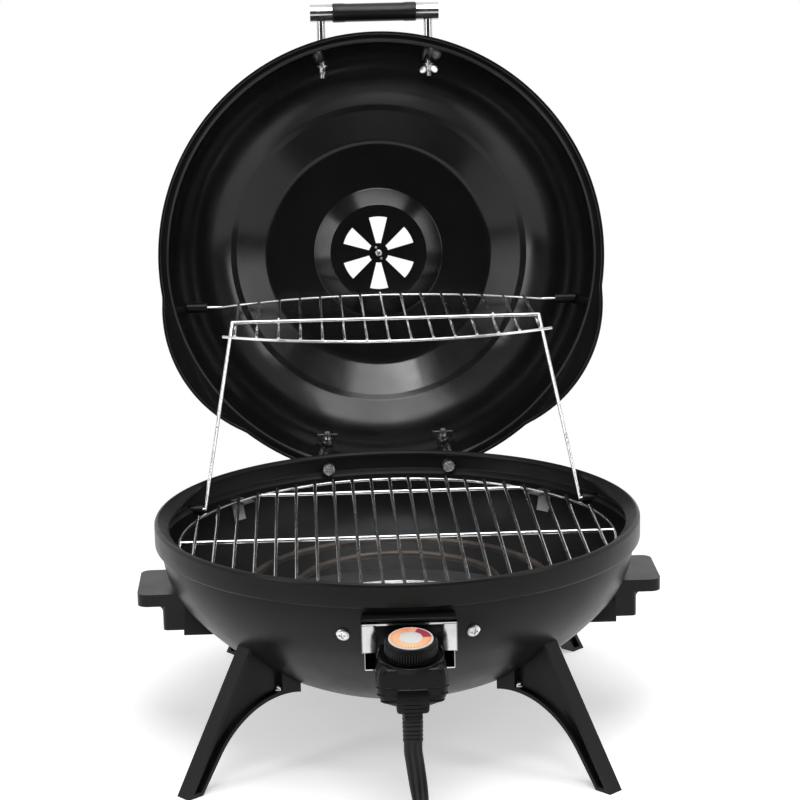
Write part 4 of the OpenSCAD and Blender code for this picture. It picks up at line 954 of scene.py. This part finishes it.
def make_knob():
    """Turned knob whose side has sixty ridges: radius less a raised-cosine groove, fading at the foot and
    shoulder."""
    steps, ridges = 960, 60
    a = np.arange(steps) * TURN / steps
    outline = [(10, 0.4), (20.7, 0.4), (KNOB_R, 1.2), (KNOB_R, 11.8), (19.7, KNOB_H), (18.2, KNOB_H),
               (18.1, KNOB_H - 0.8), (3, KNOB_H - 0.8)]
    profile = rounded(outline, [0, 0.5, 0.4, 1.8, 1.0, 0.2, 0.2, 0], 5)
    side = np.linspace(1.6, 10.6, 5)
    lower = profile[profile[:, 1] <= 1.3]
    lower = lower[: np.argmax(lower[:, 1]) + 1]
    upper = profile[np.argmax((profile[:, 1] > 9) & (profile[:, 0] > 21)) :]
    profile = np.vstack([lower, np.column_stack([np.full(5, KNOB_R), side]), upper[upper[:, 1] > 10.7]])
    radius, z = profile[:, :1], profile[:, 1:]
    groove = 0.85 * (0.5 - 0.5 * np.cos(ridges * a)) ** 2
    r = radius - ease((z - 0.8) / 1.2) * ease((13.8 - z) / 2.2) * (radius > 18.5) * groove
    points = np.stack([r * np.cos(a), r * np.sin(a), np.repeat(z, steps, 1)], -1)
    part = moved(grid(points, close_v=True), knob_place)
    return piece("control_knob_finished", [part], "dial", "control_plastic",
                 ["control_knob"], degrees=50, outward=False)


make_knob()


def make_dial():
    """Printed disc: rings from the middle outward, a raised cap inside, then the face and a thin border."""
    cap = [(0.05, 16.6), (5, 16.55), (8.6, 16.3), (9.3, 16.0), (9.5, 15.7), (9.6, 15.45)]
    face = [(10.0, 15.42), (11.5, 15.4), (13, 15.4), (15, 15.4), (16.8, 15.4), (17.4, 15.42)]
    border = [(17.8, 15.36), (DIAL_R, 15.2), (DIAL_R, 14.3)]
    r, z = np.array(cap + face + border).T
    steps = 145
    a = math.pi / 2 - np.linspace(0, TURN, steps)
    points = np.stack([np.outer(r, np.cos(a)), np.outer(r, np.sin(a)), np.repeat(z[:, None], steps, 1)], -1)
    p, faces, uv = grid(points)
    uv[:, 1] = np.interp(uv[:, 1] * (len(r) - 1), np.arange(len(r)), r / DIAL_R)
    piece("dial_plate_finished", [(knob_place(p), faces, uv)], "dial", "dial_print",
          ["dial_plate"], degrees=50, outward=False)


make_dial()


HOUSING_BACK, HOUSING_Z, HOUSING_CORNER = -222.6, 150, 7.5
OUTLET_Y = -260.9
# Height of each ring of the outlet block and how far it is drawn in, and the same for the cord's sleeve,
# which has five grooves
OUTLET = [(104.6, 2.6), (105.2, 1.4), (106.6, 0.6), (112, 0.2), (123.8, 0), (125.2, 1), (125.8, 2.2)]
SLEEVE = [(100, 0.6), (100.2, 0.6)]
SLEEVE += [(101 + 3.2 * k + d, i) for k in range(5) for d, i in ((0, 0.7), (0.3, 0), (1.9, 0), (2.2, 0.7))]
SLEEVE += [(117.3, 0.9), (117.8, 1.8)]
# Grip ribs on the lower corners: height, half width of the housing there, reach across the front
GRIP_RIBS = [(126.2, 28.65, 9.0), (120.2, 28.0, 11.0), (114.6, 25.2, 9.0)]


def make_housing():
    """Rounded box carried up Z: a narrow chin, full sides, then a waist under the slanted face that the knob
    stands on, with a collar round the knob, a neck, an outlet block, the cord's sleeve and grip ribs."""
    shape = np.array([
        (109.4, 15.5, -262), (110, 18, -264.2), (113, 23.6, -266.6), (115.5, 26, -267.6), (118, 27.2, -268),
        (123, 28.5, -268), (129, 28.8, -268), (135, 28.2, -268), (139, 27.1, -268), (142, 26.2, -268),
        (145, 25.8, -268), (158, 25.8, -268), (158, 25.2, -267.4), (158, 23.6, -265.8),
    ])  # fmt: skip
    drops = [1.6] * 12 + [0.5, 0.0]
    rings = []
    for (z, half, front), drop in zip(shape, drops):
        o = rounded_box((half, (HOUSING_BACK - front) / 2), HOUSING_CORNER, 6)
        y = np.minimum(o[:, 1] + (HOUSING_BACK + front) / 2, HOUSING_BACK)
        slope = HOUSING_Z - (-y - 222.5) * math.tan(KNOB_TILT)
        rings.append(np.column_stack([o[:, 0], y, np.minimum(z, slope - drop)]))
    parts = [stack(rings)]
    collar = [(22, -3.2), (26.5, -3.2), (26.5, 1.3), (25.9, 1.8), (25.2, 1.8), (24.9, 0.2), (22, 0.2)]
    parts.append(moved(lathe(rounded(collar, [0, 0, 0.4, 0.4, 0.3, 0.2, 0]), 96, closed=True), knob_place))
    half_x, half_z, middle = 21, 9.5, 127.5
    neck = rounded_box((half_x, half_z), 4, 5)
    rings = [level(neck * (1 - i / half_x, 1 - i / half_z), y, 0, middle)[:, [0, 2, 1]]
             for y, i in ((-224.0, 0), (-203.6, 0), (-203.5, 0.6))]
    parts.append(stack(rings))
    for half, corner, steps in (((13.6, 8.3), 2.4, OUTLET), ((7.6, 9.4), 2.2, SLEEVE)):
        outline = rounded_box(half, corner, 5)
        parts.append(stack([level(outline * (1 - i / 14, 1 - i / 10), z, 0, OUTLET_Y) for z, i in steps]))
    a = np.linspace(0, 1.35, 14)
    for side in (-1, 1):
        for z, width, reach in GRIP_RIBS:
            corner = width - 7.4
            arc = np.column_stack([side * (corner + 7.4 * np.sin(a)), -260.6 - 7.2 * np.cos(a)])
            bend = level(arc, z)
            start = [[side * (corner - reach), -267.9, z - 3.4],
                     [side * (corner + 0.2 - reach * 0.75), -267.9, z - 0.9],
                     [side * (corner - reach * 0.45), -267.9, z]]
            parts.append(wire(through(np.vstack([start, bend]), 3), 0.8, [0, 0, 1.0], 10))
    piece("control_housing_finished", parts, "controller", "control_plastic",
          ["control_housing"], degrees=42)


make_housing()


def make_front_bracket():
    """Folded sheet: a thin bar across the top, two face plates, and side and bottom folds that run back to
    the bowl. Each part is a stack of rounded boxes from the front plane to its own depth."""

    front, plate_back, outer = 222.4, -221, 38.7

    def fold(x0, x1, z0, z1, back=None):
        middle = (x0 + x1) / 2
        rings = []
        for z, inset in [(z0, 0.25), *((z, 0) for z in np.linspace(z0, z1, 7)), (z1, 0.25)]:
            reach = back or -math.sqrt(bowl_radius(z) ** 2 - middle**2) + 0.6
            o = rounded_box(((x1 - x0) / 2 - inset, (reach + front) / 2), min((x1 - x0) / 2.2, 0.4), 3)
            rings.append(level(o, z, middle, (reach - front) / 2))
        return stack(rings)

    parts = [fold(-outer, outer, 163.6, 165, plate_back)]
    for near, far, z0, z1, back in ((26.6, outer, 141, 164, plate_back), (37.6, outer, 140.6, 165, None),
                                    (35.7, 36.6, 126, 141, None), (26.6, 36.2, 126, 126.9, None)):
        parts += [fold(-far, -near, z0, z1, back), fold(near, far, z0, z1, back)]
    piece("front_bracket_finished", parts, "base", "bright_chrome", ["front_bracket"], degrees=40)


make_front_bracket()

# ---- Solids that keep their shape, with rounded edges and a finish --------

for end in ("left", "right"):
    softened(f"handle_block_{end}", finish["black_phenolic"], 1.0)
    softened(f"side_grip_{end}", finish["black_phenolic"], 1.4, 3)
for name in LEGS:
    softened(f"leg_{name}", finish["black_phenolic"], 0.7)
softened("front_lip", finish["bowl_paint"], 0.5)


def pairs(*parts):
    """The left and the right node of each of those parts."""
    return [f"{part}_{side}" for part in parts for side in ("left", "right")]


KEPT = {
    "plated_wire": ["cooking_grate", "warming_rack", "rack_legs", "sensor_probe"],
    "heater_sheath": ["heating_element"],
    "steel_sheet": ["element_plate", *(f"grate_clip_{end}" for end in LEGS), *pairs("hinge_pin")],
    "pan_aluminium": ["drip_pan"],
    "bright_chrome": pairs("lid_post"),
    "zinc_fastener": pairs("handle_bolts", "hinge_bolt", "hinge_wing_nut"),
    "bowl_paint": [*pairs("rack_socket", "hinge_bracket", "hinge_strap", "lid_socket"), "vent_damper"],
    "blade_brass": ["plug_blades"],
}
for kind, names in KEPT.items():
    for name in names:
        data = frame["nodes"][name].data
        data.materials.clear()
        data.materials.append(finish[kind])

# ---- Floor, lamps and world ---------------------------------------------


def make_floor():
    """A wide pale disc that takes the object's shadow near by and is as white as the background far off."""
    floor = fill("floor", [lathe([(0.001, 0), (3000, 0), (6000, 0)], 64)])
    f = Finish("pale_floor", Base_Color=(0.86, 0.86, 0.86, 1), Roughness=0.9, Specular_IOR_Level=0.0)
    path = f.node("LightPath").outputs
    seen = f.math("MAXIMUM", path["Is Camera Ray"],
                  f.math("MAXIMUM", path["Is Glossy Ray"], path["Is Transmission Ray"]))
    distance = f.node("VectorMath", {0: f.place}, operation="LENGTH").outputs["Value"]
    far = f.node("MapRange", {"Value": distance, "From Min": 0.26, "From Max": 0.95},
                 interpolation_type="SMOOTHSTEP").outputs["Result"]
    glow = f.node("Emission", {"Color": (1, 1, 1, 1), "Strength": f.math("MULTIPLY", seen, 0.42)})
    near = f.node("AddShader", {0: f.shader.outputs[0], 1: glow.outputs[0]})
    white = f.node("Emission", {"Color": (1, 1, 1, 1), "Strength": 1.0})
    both = f.node("MixShader", {0: f.math("MULTIPLY", far, seen), 1: near.outputs[0], 2: white.outputs[0]})
    f.links.new(both.outputs[0], f.nodes["Material Output"].inputs["Surface"])
    floor.data.materials.append(f.material)


def lamp(name, place, target, size, power):
    """A soft rectangular lamp aimed at a point."""
    data = bpy.data.lights.new(name, "AREA")
    data.shape = "RECTANGLE"
    data.size, data.size_y = size
    data.energy = power
    obj = bpy.data.objects.new(name, data)
    bpy.context.scene.collection.objects.link(obj)
    back = unit(np.array(place, float) - np.array(target, float))
    right = unit(np.cross([0, 0, 1.0] if abs(back[2]) < 0.99 else [0, 1.0, 0], back))
    up = np.cross(back, right)
    rows = [[right[k], up[k], back[k], place[k]] for k in range(3)]
    obj.matrix_world = Matrix(rows + [[0, 0, 0, 1]])


def make_world():
    """White for the camera and in glass and metal, where the side behind the camera falls to a dark room;
    a softer even grey for the light it gives."""
    world = bpy.data.worlds.new("studio")
    bpy.context.scene.world = world
    world.use_nodes = True
    nodes, links = world.node_tree.nodes, world.node_tree.links

    def node(kind, inputs, output=0, **settings):
        made = nodes.new("ShaderNode" + kind)
        for key, value in settings.items():
            setattr(made, key, value)
        for key, value in inputs.items():
            if isinstance(value, bpy.types.NodeSocket):
                links.new(value, made.inputs[key])
            else:
                made.inputs[key].default_value = value
        return made.outputs[output]

    path = nodes.new("ShaderNodeLightPath").outputs
    seen_in = node(
        "Math", {0: path["Is Glossy Ray"], 1: path["Is Transmission Ray"]}, operation="MAXIMUM")
    way = nodes.new("ShaderNodeTexCoord").outputs["Generated"]
    behind = node("VectorMath", {0: way, 1: (0.0, 1.0, 0.35)}, "Value", operation="DOT_PRODUCT")
    bright = node("MapRange", {
        "Value": behind, "From Min": -0.45, "From Max": 0.35, "To Min": 0.05, "To Max": 1.0})
    plain = node("Background", {"Color": (1, 1, 1, 1), "Strength": 0.42})
    mirrored = node("Background", {"Color": (1, 1, 1, 1), "Strength": bright})
    white = node("Background", {"Color": (1, 1, 1, 1), "Strength": 1.0})
    inside = node("MixShader", {0: seen_in, 1: plain, 2: mirrored})
    shown = node("MixShader", {0: path["Is Camera Ray"], 1: inside, 2: white})
    links.new(shown, nodes["World Output"].inputs["Surface"])


make_floor()
lamp("overhead_lamp", (0.1, -0.35, 2.1), (0, 0, 0.2), (1.5, 1.2), 24)
lamp("front_strip", (0.0, -1.25, 2.15), (0, 0.25, 0.35), (0.9, 0.22), 9)
lamp("left_lamp", (-1.65, -1.05, 1.0), (0, 0, 0.25), (0.45, 1.4), 9)
lamp("right_lamp", (1.65, -0.95, 1.1), (0, 0, 0.25), (0.45, 1.4), 8)
make_world()
bpy.context.scene.view_settings.view_transform = "Standard"
